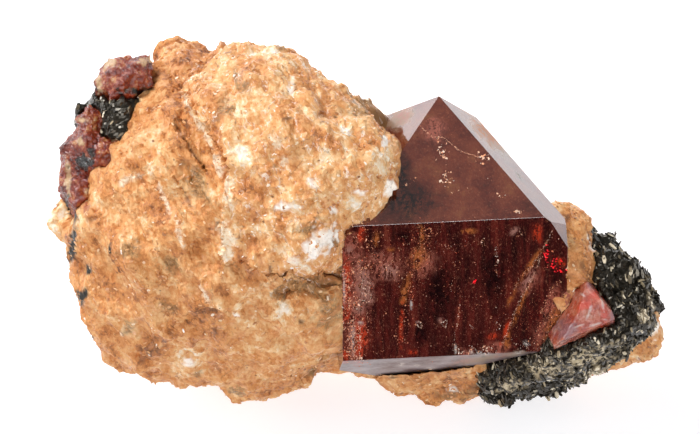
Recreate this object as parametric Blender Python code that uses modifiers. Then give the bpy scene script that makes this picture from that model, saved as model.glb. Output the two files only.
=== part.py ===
"""Zircon crystal on matrix: a deep red zircon grown in a loose lump of feldspar and calcite.

The specimen is modelled in its display frame, in metres: +X to the right, +Y up its show side and
+Z out of the show side.  At the end it is tipped onto its flat base, so that the show side faces up
and forward, with +Z of the world up and the origin at the middle of the base.
"""
import random
from math import cos, radians, sin, tau

import bmesh
import bpy
from mathutils import Matrix, Vector, noise

MM = 0.001

# Driving dimensions
SHOW_TILT = radians(20)        # the show side is tipped forward by this from facing straight up
BASE_DEPTH = 20.0 * MM         # from the big crystal's tip level down to the flat base
GAP = 0.3 * MM                 # clearance round a crystal that is cut by flat faces
ROUGH_GAP = 0.55 * MM          # clearance round a rough solid, whose cutter is a coarse copy
AXIAL_RATIO = 0.9054           # zircon's c/a, which sets the slope of every pyramid face
BIG_HALF_WIDTH = 7.73 * MM     # from the big crystal's axis to its front prism face
BIG_TIP = Vector((6.64, 9.68, 0.0)) * MM
BIG_LENGTH = 26.9 * MM         # from tip to tip along the axis, if both pyramids were whole
ROCK_VOXEL = 0.55 * MM
ROCK_TRIANGLES = 4000
MICA_VOXEL = 0.3 * MM
GRAIN_SHIFT = Vector((14.3, 3.1, 0.7))     # slides the pattern of broken grains, in grains
TILT_SHIFTS = (Vector((0, 0, 0)), Vector((31, 17, 5)), Vector((7, 53, 29)))  # one for each axis

for old in list(bpy.data.objects):
    bpy.data.objects.remove(old, do_unlink=True)

parts = bpy.data.collections.new("zircon_on_matrix")
bpy.context.scene.collection.children.link(parts)


def mm(points):
    """Points given in millimetres, as vectors in metres."""
    return [Vector(point) * MM for point in points]


def new_object(name, bm):
    """A mesh object in the parts collection from a bmesh, which is freed."""
    mesh = bpy.data.meshes.new(name)
    bm.to_mesh(mesh)
    bm.free()
    obj = bpy.data.objects.new(name, mesh)
    parts.objects.link(obj)
    return obj


def hull(name, points):
    """The convex lump round a few corner points."""
    bm = bmesh.new()
    for point in points:
        bm.verts.new(point)
    found = bmesh.ops.convex_hull(bm, input=bm.verts)
    bmesh.ops.delete(bm, geom=found["geom_interior"], context="VERTS")
    bmesh.ops.recalc_face_normals(bm, faces=bm.faces)
    return new_object(name, bm)


def joined(name, objects):
    """Several objects as one mesh, whose closed pieces may still overlap."""
    bm = bmesh.new()
    for obj in objects:
        bm.from_mesh(obj.data)
        bpy.data.objects.remove(obj, do_unlink=True)
    return new_object(name, bm)


def apply_modifier(obj, kind, **settings):
    """Put one modifier on an object and keep its result as the object's mesh."""
    modifier = obj.modifiers.new(kind.title(), kind)
    for key, value in settings.items():
        setattr(modifier, key, value)
    bpy.context.view_layer.update()
    evaluated = obj.evaluated_get(bpy.context.evaluated_depsgraph_get())
    mesh = bpy.data.meshes.new_from_object(evaluated)
    obj.modifiers.clear()
    obj.data = mesh


def fuse(obj, voxel):
    """Melt all the closed pieces of a mesh into one skin."""
    apply_modifier(obj, "REMESH", mode="VOXEL", voxel_size=voxel)


def thin_out(obj, triangles):
    """Collapse edges until about this many triangles are left."""
    apply_modifier(obj, "TRIANGULATE")
    count = len(obj.data.polygons)
    if count > triangles:
        apply_modifier(obj, "DECIMATE", ratio=triangles / count, use_collapse_triangulate=True)


def keep_largest(obj):
    """Drop the loose crumbs that a cut leaves beside the main body."""
    bm = bmesh.new()
    bm.from_mesh(obj.data)
    unseen = set(bm.faces)
    largest = []
    while unseen:
        island = [unseen.pop()]
        for face in island:
            near = {other for edge in face.edges for other in edge.link_faces} & unseen
            island.extend(near)
            unseen -= near
        if len(island) > len(largest):
            largest = island
    crumbs = set(bm.faces) - set(largest)
    bmesh.ops.delete(bm, geom=list(crumbs), context="FACES")
    bm.to_mesh(obj.data)
    bm.free()


def carve(obj, cutter):
    """Cut a solid with another one, which is used up."""
    apply_modifier(obj, "BOOLEAN", operation="DIFFERENCE", solver="EXACT", object=cutter)
    bpy.data.objects.remove(cutter, do_unlink=True)
    keep_largest(obj)


def swollen(obj, amount, voxel, triangles):
    """A cutter that stands proud of a solid by the given clearance all over."""
    cutter = bpy.data.objects.new(obj.name + "_cutter", obj.data.copy())
    parts.objects.link(cutter)
    fuse(cutter, voxel)
    apply_modifier(cutter, "DISPLACE", strength=amount, mid_level=0.0)
    fuse(cutter, voxel)
    thin_out(cutter, triangles)
    return cutter


def fracture(place, size):
    """How far a broken surface stands out, from -1 to 1: each grain is a tilted flat of its own."""
    spot = place / size + GRAIN_SHIFT
    _, centres = noise.voronoi(spot)
    tilt = Vector([noise.noise(centres[0] + shift) for shift in TILT_SHIFTS])
    return 2.0 * tilt.dot(spot - centres[0])


def break_up(obj, swell, facets):
    """Swell a skin evenly, then break it into tilted facets: (size, height) pairs in metres."""
    mesh = obj.data
    normals = [vertex.normal.copy() for vertex in mesh.vertices]
    for vertex, normal in zip(mesh.vertices, normals):
        push = swell + sum(height * fracture(vertex.co, size) for size, height in facets)
        vertex.co += normal * push


def material(obj, colour, roughness, transmission=0.0, ior=1.5):
    """Give an object its own Principled material."""
    surface = bpy.data.materials.new(obj.name)
    surface.use_nodes = True
    shader = surface.node_tree.nodes["Principled BSDF"]
    shader.inputs["Base Color"].default_value = (*colour, 1.0)
    shader.inputs["Roughness"].default_value = roughness
    shader.inputs["Metallic"].default_value = 0.0
    shader.inputs["Transmission Weight"].default_value = transmission
    shader.inputs["IOR"].default_value = ior
    surface.diffuse_color = (*colour, 1.0)
    obj.data.materials.clear()
    obj.data.materials.append(surface)


# Zircon crystals: square prisms closed by pyramids, each cut from a block by its crystal faces.

def face_normal(h, k, l):
    """The outward normal of a crystal face from its indices, with the c axis along Z."""
    return Vector((h, k, l / AXIAL_RATIO)).normalized()


def crystal(name, frame, faces, allowance=0.0):
    """Cut a block by faces given as (indices, distance from the tip) in the crystal's own frame."""
    bm = bmesh.new()
    bmesh.ops.create_cube(bm, size=90 * MM)
    for indices, distance in faces:
        normal = face_normal(*indices)
        cut = bmesh.ops.bisect_plane(
            bm, geom=bm.verts[:] + bm.edges[:] + bm.faces[:], dist=0.1 * GAP,
            plane_co=normal * (distance + allowance), plane_no=normal, clear_outer=True)
        rim = [item for item in cut["geom_cut"] if isinstance(item, bmesh.types.BMEdge)]
        bmesh.ops.holes_fill(bm, edges=rim)
    bmesh.ops.remove_doubles(bm, verts=bm.verts, dist=0.02 * MM)
    bmesh.ops.dissolve_degenerate(bm, edges=bm.edges, dist=0.02 * MM)
    bmesh.ops.recalc_face_normals(bm, faces=bm.faces)
    bmesh.ops.transform(bm, matrix=frame, verts=bm.verts)
    return new_object(name, bm)


def crystal_frame(tip, lean, turn, roll):
    """Where a crystal stands: its tip, and its angles in degrees from upright on the show side.

    lean tips the axis out of the show side, turn spins the prism on its axis and roll leans the
    axis to the left.
    """
    return (Matrix.Translation(tip) @ Matrix.Rotation(radians(roll), 4, "Z")
            @ Matrix.Rotation(radians(lean - 90), 4, "X") @ Matrix.Rotation(radians(turn), 4, "Z"))


# The faces of the big crystal, with the front at -Y of its frame.  A second-order pyramid bevels
# two front corners, and the back is closed by a low vicinal face and a broad corner face.
LOWER_TIP = BIG_LENGTH * face_normal(0, 1, 1).z
BIG_FACES = (
    ((0, -1, 0), BIG_HALF_WIDTH),
    ((1, 0, 0), 9.65 * MM),
    ((-1, 0, 0), 8.45 * MM),
    ((0, 1, 0), 6.5 * MM),
    ((1, 1, 0), 3.0 * MM),
    ((0, -1, 1), 0.0),
    ((1, 0, 1), 0.0),
    ((-1, 0, 1), 0.0),
    ((0.41, 1.72, 1), 0.0),
    ((2, -1, 1), 6.4 * MM),
    ((-2, -1, 1), 6.1 * MM),
    ((0, -1, -1), LOWER_TIP),
    ((1, 0, -1), LOWER_TIP),
    ((0, 1, -1), LOWER_TIP),
    ((-1, 0, -1), LOWER_TIP + 3.1 * MM),
)
BIG_FRAME = crystal_frame(BIG_TIP, lean=32.7, turn=4.3, roll=0.4)


def prism_faces(half_width, length):
    """The faces of a small doubly ended crystal, with its upper tip at the origin."""
    foot = length * face_normal(0, 1, 1).z
    faces = [((cos(turn), sin(turn), 0), half_width) for turn in (0, tau / 4, tau / 2, 3 * tau / 4)]
    faces += [((cos(turn), sin(turn), 1), 0.0) for turn in (0, tau / 4, tau / 2, 3 * tau / 4)]
    faces += [((cos(turn), sin(turn), -1), foot) for turn in (0, tau / 4, tau / 2, 3 * tau / 4)]
    return faces


# The small crystal is lopsided: its tip stands over its right side.
SMALL_FOOT = 3.6 * MM
SMALL_FACES = (
    ((0, -1, 0), 1.6 * MM),
    ((1, 0, 0), 1.0 * MM),
    ((-1, 0, 0), 4.3 * MM),
    ((0, 1, 0), 2.2 * MM),
    ((0, -1, 1), 0.0),
    ((3, 0, 1), 0.0),
    ((-1, 0, 1), 0.0),
    ((0, 1, 1), 0.0),
    ((0, -1, -1), SMALL_FOOT),
    ((0, 1, -1), SMALL_FOOT),
)
SMALL_FRAME = crystal_frame(Vector((18.5, -5.1, -0.9)) * MM, lean=30, turn=4, roll=20)

# The small crystals at the left edge, in the two clusters that they are grown together in: tip,
# half width and length in millimetres, then lean, turn and roll in degrees.
UPPER_CLUSTER = (
    ((-17.7, 12.2, -1.6), 1.45, 7.0, 66, 20, -14),
    ((-19.6, 12.0, -2.0), 1.4, 7.0, 58, 50, 16),
    ((-18.9, 11.0, -1.4), 1.1, 6.0, 74, 5, 4),
)
LOWER_CLUSTER = (
    ((-21.7, 6.5, -1.2), 1.8, 8.0, 64, 36, 14),
    ((-19.9, 5.6, -0.6), 1.3, 7.0, 70, 12, -12),
    ((-21.6, 8.4, -2.2), 1.0, 6.5, 58, 28, 20),
    ((-23.1, 4.6, -2.8), 1.2, 7.0, 52, 62, 24),
    ((-22.2, 3.1, -1.6), 1.45, 7.5, 62, 24, 8),
)

big_crystal = crystal("zircon_crystal", BIG_FRAME, BIG_FACES)
small_crystal = crystal("small_zircon_crystal", SMALL_FRAME, SMALL_FACES)


def cluster(name, crystals):
    """Small crystals grown into one another, as one solid."""
    grown = [crystal(name, crystal_frame(Vector(tip) * MM, lean, turn, roll),
                     prism_faces(half_width * MM, length * MM))
             for tip, half_width, length, lean, turn, roll in crystals]
    for neighbour in grown[1:]:
        apply_modifier(grown[0], "BOOLEAN", operation="UNION", solver="EXACT", object=neighbour)
        bpy.data.objects.remove(neighbour, do_unlink=True)
    return grown[0]


upper_cluster = cluster("upper_zircon_cluster", UPPER_CLUSTER)
lower_cluster = cluster("lower_zircon_cluster", LOWER_CLUSTER)


# Mica: a dark mass of thin, tilted books of biotite, all fused to the lump they lie on.

def mica_flakes(core, count, seed, radius, cover):
    """Six-sided mica plates strewn over the parts of a lump that the cover test lets through."""
    picker = random.Random(seed)
    faces = [face for face in core.data.polygons if cover(face.center, face.normal)]
    areas = [face.area for face in faces]
    flakes = []
    for face in picker.choices(faces, weights=areas, k=count):
        size = radius * picker.uniform(0.55, 1.25)
        bm = bmesh.new()
        bmesh.ops.create_cone(bm, cap_ends=True, segments=6, radius1=size,
                              radius2=0.92 * size, depth=0.38 * size)
        wobble = Vector([picker.uniform(-1, 1) for _ in range(3)]) * 0.75
        facing = (face.normal + wobble).to_track_quat("Z", "X").to_matrix().to_4x4()
        spin = Matrix.Rotation(picker.uniform(0, tau), 4, "Z")
        spot = core.data.vertices[picker.choice(face.vertices[:])].co.lerp(face.center, 0.6)
        place = Matrix.Translation(spot + face.normal * 0.12 * size)
        bmesh.ops.transform(bm, matrix=place @ facing @ spin, verts=bm.verts)
        flakes.append(new_object("flake", bm))
    return flakes


def mica_mass(name, core_points, count, seed, radius, triangles, cover):
    """A mica lump from its corner points, broken up by flakes."""
    core = hull(name + "_core", core_points)
    fuse(core, 0.8 * MM)
    break_up(core, 0.2 * MM, ((2.6 * MM, 0.6 * MM),))
    flakes = mica_flakes(core, count, seed, radius, cover)
    mass = joined(name, [core] + flakes)
    fuse(mass, MICA_VOXEL)
    thin_out(mass, triangles)
    keep_largest(mass)
    return mass


RIGHT_MICA_CORNERS = mm((
    (18.5, -0.6, -4.6), (19.1, -1.9, -3.8), (20.2, -2.4, -4.4), (22.0, -3.8, -4.4),
    (23.6, -5.8, -4.8), (24.4, -7.3, -6.0), (24.4, -8.3, -7.4), (24.0, -9.2, -8.6),
    (22.2, -10.3, -9.6), (19.2, -12.6, -11.4), (14.2, -14.5, -13.6), (9.6, -14.6, -14.2),
    (11.0, -13.7, -12.4), (14.9, -11.5, -5.2), (15.7, -11.3, -3.4), (18.0, -10.6, -2.6),
    (20.8, -9.6, -2.4), (21.3, -7.2, -3.0), (22.2, -6.2, -3.6), (22.2, -9.2, -5.2),
    (20.5, -5.0, -9.5),
    (22.5, -8.0, -12.0), (14.0, -13.5, -16.0),
))
LEFT_MICA_CORNERS = mm((
    (-16.4, 10.6, -3.6), (-17.4, 8.8, -2.0), (-18.4, 7.6, -1.6), (-20.2, 8.0, -2.2),
    (-20.8, 9.6, -3.8), (-20.2, 11.2, -5.2), (-18.6, 12.2, -5.6), (-22.2, 7.2, -5.0),
    (-23.6, 4.6, -5.4), (-23.2, 2.0, -5.0), (-21.6, 1.2, -4.0), (-20.4, 2.6, -2.6),
    (-21.4, 4.2, -1.6), (-19.4, 6.6, -1.6), (-17.5, 9.5, -10.0), (-21.0, 4.0, -10.0),
    (-21.2, 8.0, -9.0), (-18.5, 5.0, -8.0),
))
# The rock hides the back of the mica, so that side gets no flakes.
right_mica = mica_mass("right_mica", RIGHT_MICA_CORNERS, count=120, seed=4, radius=1.1 * MM,
                       triangles=2200, cover=lambda centre, normal: normal.z > -0.25)
left_mica = mica_mass("left_mica", LEFT_MICA_CORNERS, count=50, seed=9, radius=0.85 * MM,
                      triangles=800, cover=lambda centre, normal: normal.z > -0.3)

# The matrix: a broken lump of feldspar and calcite.  Each lump below is one of its main masses.
ROCK_LUMPS = {
    "left_block": (
        (-19.0, 4.0, 0.8), (-14.0, 8.5, 2.6), (-12.0, 2.0, 4.2), (-17.0, -3.0, 2.6),
        (-12.0, -6.0, 2.6), (-8.5, -5.0, 3.2), (-9.0, 1.0, 4.8), (-7.0, -8.0, 1.0),
        (-4.0, -8.6, 0.2), (-2.2, -8.0, -1.0), (-24.0, 0.1, -5.5), (-22.9, -3.4, -5.0),
        (-22.4, -6.3, -6.0), (-21.4, -9.8, -8.0), (-20.3, -11.4, -10.0), (-14.4, -13.3, -11.5),
        (-11.6, -14.5, -12.4), (-8.8, -15.1, -13.0), (-4.9, -14.2, -13.0), (-2.6, -12.0, -11.5),
        (-15.0, -10.0, -2.6), (-9.0, -11.5, -3.8), (-4.0, -10.6, -4.0), (-22.2, 4.5, -5.0),
        (-19.2, 9.4, -5.5), (-16.2, 11.8, -5.0), (-21.5, -3.0, -14.0), (-18.0, 6.0, -16.0),
        (-8.0, 8.0, -20.0), (-9.0, -12.0, -17.0), (-18.0, -8.5, -15.0), (-2.4, -9.0, -18.0),
        (-2.4, -11.0, -14.0), (-2.1, -4.6, 0.4), (-2.1, -6.4, 0.0), (-5.0, -4.2, 2.2)),
    "left_spur": (
        (-25.1, 0.2, -6.2), (-24.6, -1.6, -6.2), (-23.0, -2.6, -5.0), (-22.6, 1.2, -4.6),
        (-24.1, 1.2, -5.6), (-22.0, 0.0, -10.0)),
    "raised_block": (
        (-10.6, 13.2, -2.5), (-13.4, 10.9, 0.6), (-13.2, 9.6, 2.6), (-11.8, 7.8, 4.2),
        (-10.4, 5.8, 5.0), (-9.4, 13.8, -1.5), (-7.9, 14.2, -1.5), (-6.3, 13.6, -1.0),
        (-5.3, 11.9, 0.4), (-3.3, 10.3, 0.6), (-1.9, 8.8, 1.4), (1.2, 7.5, 2.2),
        (2.9, 6.1, 2.4), (3.5, 5.2, 2.8), (3.2, 3.4, 3.2), (2.5, 1.3, 3.8), (0.8, 0.4, 4.0),
        (-0.9, 0.1, 4.0), (-8.5, 10.5, 3.6), (-7.0, 7.0, 6.0), (-3.0, 6.0, 6.4),
        (-1.0, 4.0, 6.4), (0.6, 5.0, 5.8), (-4.0, 0.4, 6.0), (-2.2, -1.4, 5.4),
        (-8.6, 3.0, 5.6), (-7.4, 0.0, 5.2), (-2.3, -3.7, 3.2), (-7.0, -3.9, 4.0),
        (-4.0, -4.0, 4.2), (-12.0, 8.0, -6.0), (-3.0, 8.0, -6.0), (-2.0, -3.0, -3.0),
        (-9.0, -3.0, -3.0), (2.0, 5.0, -1.5)),
    "top_ledge": (
        (-16.2, 12.6, -5.0), (-15.5, 13.7, -6.0), (-14.5, 13.8, -6.0), (-13.0, 13.6, -5.5),
        (-10.6, 13.2, -5.0), (-11.5, 10.0, -1.0), (-16.5, 9.0, -2.5), (-15.0, 12.0, -14.0),
        (-10.0, 12.0, -14.0)),
    "wedge_behind": (
        (-2.2, 9.4, -1.5), (-0.6, 9.2, -2.5), (1.3, 8.3, -3.2), (2.7, 7.5, -3.8),
        (3.2, 6.0, -3.4), (-3.0, 9.0, -2.0), (-3.0, 7.0, -12.0), (3.0, 6.5, -12.0),
        (2.0, 2.0, -14.0), (-4.0, 3.0, -14.0)),
    "back": (
        (-6.0, 10.0, -6.0), (-12.0, 12.0, -8.0), (2.5, 6.8, -11.0), (10.5, 4.3, -9.0),
        (15.0, 0.4, -6.0), (18.4, -2.0, -5.5), (19.0, -10.0, -10.0), (15.0, -13.5, -13.5),
        (5.0, -14.3, -14.5), (-3.0, -12.0, -13.0), (-8.0, 9.0, -22.0), (6.0, 5.0, -23.0),
        (15.0, -1.0, -20.0), (18.0, -9.0, -18.0), (6.0, -13.0, -19.0), (-9.0, -11.0, -19.0),
        (-15.0, 4.0, -18.0)),
    "right_wall": (
        (15.0, 0.9, -2.2), (16.5, 0.7, -2.4), (17.8, 0.1, -2.6), (18.8, -1.5, -3.2),
        (19.4, -5.0, -3.6), (18.6, -9.2, -3.8), (16.6, -10.6, -4.4), (14.9, -11.8, -5.6),
        (15.0, -10.8, -4.6), (15.2, -8.4, -3.0), (15.7, -6.5, -1.8), (17.1, -4.0, -0.6),
        (17.0, -2.2, -1.0), (18.0, -5.0, -1.4), (16.0, 0.0, -12.0), (19.0, -6.0, -13.0),
        (15.6, -11.0, -15.0)),
    "front_lip": (
        (-2.0, -11.9, -9.5), (2.2, -13.3, -12.6), (5.2, -14.6, -13.4), (9.0, -14.8, -13.8),
        (13.0, -15.0, -14.2), (16.4, -13.6, -12.5), (15.0, -11.8, -6.6), (8.0, -13.6, -13.0),
        (2.0, -12.0, -16.5), (12.0, -12.0, -17.0), (16.0, -11.0, -16.0)),
    "right_foot": (
        (17.0, -8.0, -6.5), (21.0, -5.4, -7.5), (24.3, -6.9, -8.6), (25.1, -8.0, -8.8),
        (25.1, -10.8, -10.6), (23.6, -10.9, -11.4), (22.8, -11.9, -12.2), (21.0, -12.5, -12.6),
        (19.4, -13.1, -13.2), (16.5, -14.2, -14.2), (13.0, -14.6, -14.8), (20.0, -5.5, -17.0),
        (23.2, -9.0, -15.5), (17.0, -13.0, -17.0)),
}
rock = joined("matrix_rock", [hull(name, mm(points)) for name, points in ROCK_LUMPS.items()])
fuse(rock, ROCK_VOXEL)
break_up(rock, 0.3 * MM, ((7.0 * MM, 0.9 * MM), (3.2 * MM, 0.5 * MM), (1.5 * MM, 0.3 * MM)))
fuse(rock, ROCK_VOXEL)
thin_out(rock, ROCK_TRIANGLES)

# Pockets, so that each solid keeps its clearance: the harder piece always keeps its own shape.
carve(small_crystal, crystal("big_pocket", BIG_FRAME, BIG_FACES, GAP))
for solid in (rock, right_mica):
    carve(solid, crystal("small_pocket", SMALL_FRAME, SMALL_FACES, GAP))
    carve(solid, crystal("big_pocket", BIG_FRAME, BIG_FACES, GAP))
for grown in (upper_cluster, lower_cluster):
    carve(left_mica, swollen(grown, GAP, 0.22 * MM, 500))
    carve(rock, swollen(grown, ROUGH_GAP, 0.3 * MM, 400))
carve(rock, swollen(right_mica, ROUGH_GAP, 0.3 * MM, 1200))
carve(rock, swollen(left_mica, ROUGH_GAP, 0.3 * MM, 600))

# Tip the specimen onto its base, and cut it flat there.
solids = (rock, big_crystal, small_crystal, right_mica, upper_cluster, lower_cluster, left_mica)
stand = Matrix.Translation((0, 0, BASE_DEPTH)) @ Matrix.Rotation(SHOW_TILT, 4, "X")
for solid in solids:
    solid.data.transform(stand)
    bm = bmesh.new()
    bm.from_mesh(solid.data)
    cut = bmesh.ops.bisect_plane(bm, geom=bm.verts[:] + bm.edges[:] + bm.faces[:],
                                 plane_co=(0, 0, 0), plane_no=(0, 0, -1), clear_outer=True)
    rim = [item for item in cut["geom_cut"] if isinstance(item, bmesh.types.BMEdge)]
    bmesh.ops.holes_fill(bm, edges=rim)
    bmesh.ops.triangulate(bm, faces=bm.faces)
    bmesh.ops.recalc_face_normals(bm, faces=bm.faces)
    bm.to_mesh(solid.data)
    bm.free()
    keep_largest(solid)

# The origin is under the middle of the specimen.
corners = [vertex.co for solid in solids for vertex in solid.data.vertices]
middle_x = (min(corner.x for corner in corners) + max(corner.x for corner in corners)) / 2
middle_y = (min(corner.y for corner in corners) + max(corner.y for corner in corners)) / 2
for solid in solids:
    solid.data.transform(Matrix.Translation((-middle_x, -middle_y, 0)))

material(rock, (0.62, 0.33, 0.13), 0.75)
material(big_crystal, (0.20, 0.012, 0.010), 0.06, transmission=0.6, ior=1.93)
material(small_crystal, (0.42, 0.05, 0.03), 0.12, transmission=0.5, ior=1.93)
material(upper_cluster, (0.36, 0.05, 0.04), 0.15, transmission=0.3, ior=1.93)
material(lower_cluster, (0.36, 0.05, 0.04), 0.15, transmission=0.3, ior=1.93)
material(right_mica, (0.016, 0.017, 0.013), 0.4)
material(left_mica, (0.016, 0.017, 0.013), 0.4)
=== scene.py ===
import random
from math import cos, hypot, pi, radians, sin, sqrt

import bmesh
import bpy
import numpy as np
from mathutils import Matrix, Vector, noise
from mathutils.bvhtree import BVHTree


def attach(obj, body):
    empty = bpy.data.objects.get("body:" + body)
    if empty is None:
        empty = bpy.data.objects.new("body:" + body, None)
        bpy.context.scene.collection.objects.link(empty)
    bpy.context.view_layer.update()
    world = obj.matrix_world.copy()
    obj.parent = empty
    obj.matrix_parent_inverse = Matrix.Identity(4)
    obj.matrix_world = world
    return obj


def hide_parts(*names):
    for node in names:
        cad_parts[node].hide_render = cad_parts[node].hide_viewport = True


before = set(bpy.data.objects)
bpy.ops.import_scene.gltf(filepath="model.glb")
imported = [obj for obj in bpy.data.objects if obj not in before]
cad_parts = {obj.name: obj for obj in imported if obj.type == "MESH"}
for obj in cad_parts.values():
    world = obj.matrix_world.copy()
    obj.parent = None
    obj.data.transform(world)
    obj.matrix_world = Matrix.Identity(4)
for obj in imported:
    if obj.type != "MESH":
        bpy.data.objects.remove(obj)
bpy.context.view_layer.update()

# ---- The show side ----
# A mineral specimen is displayed with its best side towards the viewer.  This one lies on its flat
# base, so its show side faces up and a little forward, and is looked at from nearly overhead.
# Places on it are given from the big crystal's tip: across, rise and out, in millimetres.
MM = 0.001
SHOW_ELEVATION = radians(70)
ACROSS = Vector((1, 0, 0))
RISE = Vector((0, sin(SHOW_ELEVATION), cos(SHOW_ELEVATION)))
OUT = Vector((0, -cos(SHOW_ELEVATION), sin(SHOW_ELEVATION)))
tip = max((vertex.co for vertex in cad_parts["zircon_crystal"].data.vertices),
          key=lambda corner: corner.dot(RISE)).copy()


def show(across, rise, out=0.0):
    """The point on the show side at these distances from the big crystal's tip, in millimetres."""
    return tip + (ACROSS * across + RISE * rise + OUT * out) * MM


# ---- Table, lights and camera ----
# A white light table in a soft tent: its top glows enough to keep the shadows faint.  Soft lamps
# stand behind the specimen, in front of it and at both sides, the strongest at the back left.  The
# tent overhead is only grey, so that the crystal's polished faces show what is inside it.
def srgb(code):
    """The linear colour, with alpha, of an sRGB hex code such as #c8935c."""
    parts = [int(code[place:place + 2], 16) / 255 for place in (1, 3, 5)]
    return (*[part / 12.92 if part <= 0.04045 else ((part + 0.055) / 1.055) ** 2.4
              for part in parts], 1.0)


def connect(node, links):
    """Fill a node's inputs, by name or in order, from nodes, sockets or plain values."""
    for name, source in links.items() if isinstance(links, dict) else enumerate(links):
        if isinstance(source, bpy.types.Node):
            source = source.outputs[0]
        if isinstance(source, bpy.types.NodeSocket):
            node.id_data.links.new(source, node.inputs[name])
        else:
            node.inputs[name].default_value = source


def add_node(tree, kind, links=(), stops=(), **settings):
    """Add a node with its inputs, its ramp's stops (first, last, then between) and its settings."""
    made = tree.nodes.new("ShaderNode" + kind)
    for key, value in settings.items():
        setattr(made, key, value)
    for place, (position, code) in enumerate(stops):
        ramp = made.color_ramp.elements
        stop = ramp[place] if place < 2 else ramp.new(position)
        stop.position, stop.color = position, srgb(code)
    connect(made, links)
    return made


def new_material(name, **shader):
    """A material with one Principled shader; its plain values are given by socket name."""
    made = bpy.data.materials.new(name)
    made.use_nodes = True
    principled = made.node_tree.nodes["Principled BSDF"]
    for socket, value in shader.items():
        principled.inputs[socket.replace("_", " ")].default_value = value
    return made, made.node_tree, principled


TABLE_RADIUS = 1.2
bpy.ops.object.select_all(action="DESELECT")
bpy.ops.mesh.primitive_circle_add(vertices=96, radius=TABLE_RADIUS, fill_type="NGON")
table = bpy.context.active_object
table.name = "light_table"
glass_top, tree, surface = new_material(
    "opal_acrylic_light_table", Base_Color=srgb("#dcdce0"), Roughness=0.6,
    Emission_Color=srgb("#ffffff"))
table_place = add_node(tree, "SeparateXYZ", (add_node(tree, "TexCoord").outputs["Object"],))
glow = add_node(tree, "MapRange", (table_place.outputs["Y"], -0.03, 0.06, 0.36, 1.40),
                interpolation_type="SMOOTHSTEP")
connect(surface, {"Emission Strength": glow})
table.data.materials.append(glass_top)

tent = bpy.data.worlds.new("soft_tent")
bpy.context.scene.world = tent
tent.use_nodes = True
tree = tent.node_tree
direction = add_node(tree, "TexCoord").outputs["Generated"]
height = add_node(tree, "SeparateXYZ", (direction,))
back = add_node(tree, "Math", (height.outputs["Y"], 0.55), operation="MULTIPLY")
lift = add_node(tree, "Math", (height.outputs["Z"], back), operation="ADD")
glow = add_node(tree, "ValToRGB", (lift,), stops=(
    (0.05, "#26262a"), (1.0, "#a9a8a8"), (0.55, "#8f9096")))
connect(tree.nodes["Background"], {"Color": glow, "Strength": 0.75})

SPECIMEN_MIDDLE = Vector((0, 0, 0.012))


def soft_lamp(name, place, size, power):
    """A square soft lamp that faces the specimen's middle; lengths in metres, power in watts."""
    lamp = bpy.data.lights.new(name, "AREA")
    lamp.shape = "SQUARE"
    lamp.size = size
    lamp.energy = power
    holder = bpy.data.objects.new(name, lamp)
    bpy.context.scene.collection.objects.link(holder)
    aim = SPECIMEN_MIDDLE - Vector(place)
    holder.matrix_world = (Matrix.Translation(place)
                           @ aim.to_track_quat("-Z", "Y").to_matrix().to_4x4())


soft_lamp("back_lamp", place=(-0.24, 0.32, 0.32), size=0.16, power=2.1)
soft_lamp("front_lamp", place=(0.02, -0.34, 0.36), size=0.26, power=1.5)
soft_lamp("left_lamp", place=(-0.42, 0.04, 0.28), size=0.24, power=0.8)
soft_lamp("right_lamp", place=(0.42, 0.08, 0.28), size=0.24, power=0.4)

VIEW_WIDTH = 56.0 * MM          # what the camera takes in across the specimen
VIEW_MIDDLE = (-7.12, -9.68)    # what it looks at, across and up the show side in millimetres
CAMERA_DISTANCE = 0.45          # in metres
SENSOR = 36.0                   # the camera's sensor width in millimetres
lens = bpy.data.cameras.new("camera")
lens.sensor_width = SENSOR
lens.lens = SENSOR * CAMERA_DISTANCE / VIEW_WIDTH
lens.clip_start = 0.01
camera = bpy.data.objects.new("camera", lens)
bpy.context.scene.collection.objects.link(camera)
camera.matrix_world = (Matrix.Translation(show(*VIEW_MIDDLE) + OUT * CAMERA_DISTANCE)
                       @ OUT.to_track_quat("Z", "Y").to_matrix().to_4x4())
bpy.context.scene.camera = camera
bpy.context.scene.view_settings.view_transform = "Standard"


# ---- Matrix rock ----
# Iron-stained potassium feldspar with calcite, the rock that the crystals grew in, broken out by
# hand.  Every grain has snapped along its own cleavage, so the surface is a patchwork of small
# tilted flats, white where it is freshly split and tan where iron has soaked in.
def copy_of(node, name):
    """A loose copy of a CAD solid, its triangles merged into one skin."""
    bpy.ops.object.select_all(action="DESELECT")
    piece = bpy.data.objects.new(name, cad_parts[node].data.copy())
    piece.data.materials.clear()
    bpy.context.scene.collection.objects.link(piece)
    bpy.context.view_layer.objects.active = piece
    piece.select_set(True)
    bpy.ops.object.mode_set(mode="EDIT")
    bpy.ops.mesh.select_all(action="SELECT")
    bpy.ops.mesh.remove_doubles(threshold=0.01 * MM)
    bpy.ops.object.mode_set(mode="OBJECT")
    return piece


def finish_with(piece, kind, **settings):
    """Put a modifier on a piece and apply it."""
    bpy.context.view_layer.objects.active = piece
    modifier = piece.modifiers.new(kind.title(), kind)
    for key, value in settings.items():
        setattr(modifier, key, value)
    bpy.ops.object.modifier_apply(modifier=modifier.name)


def points_of(piece, what="co"):
    """A piece's vertex positions, or its vertex normals, as an array."""
    source = piece.data.vertices if what == "co" else piece.data.vertex_normals
    values = np.empty(3 * len(source), dtype=np.float32)
    source.foreach_get("co" if what == "co" else "vector", values)
    return values.reshape(-1, 3)


def put_points(piece, points):
    """Move a piece's vertices to these positions."""
    piece.data.vertices.foreach_set("co", points.astype(np.float32).ravel())
    piece.data.update()


def swell(piece, heights):
    """Move a piece's skin out along its normals by these heights in millimetres; its new points."""
    points = points_of(piece) + points_of(piece, "normal") * (MM * heights)[:, None]
    put_points(piece, points)
    return points


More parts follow.
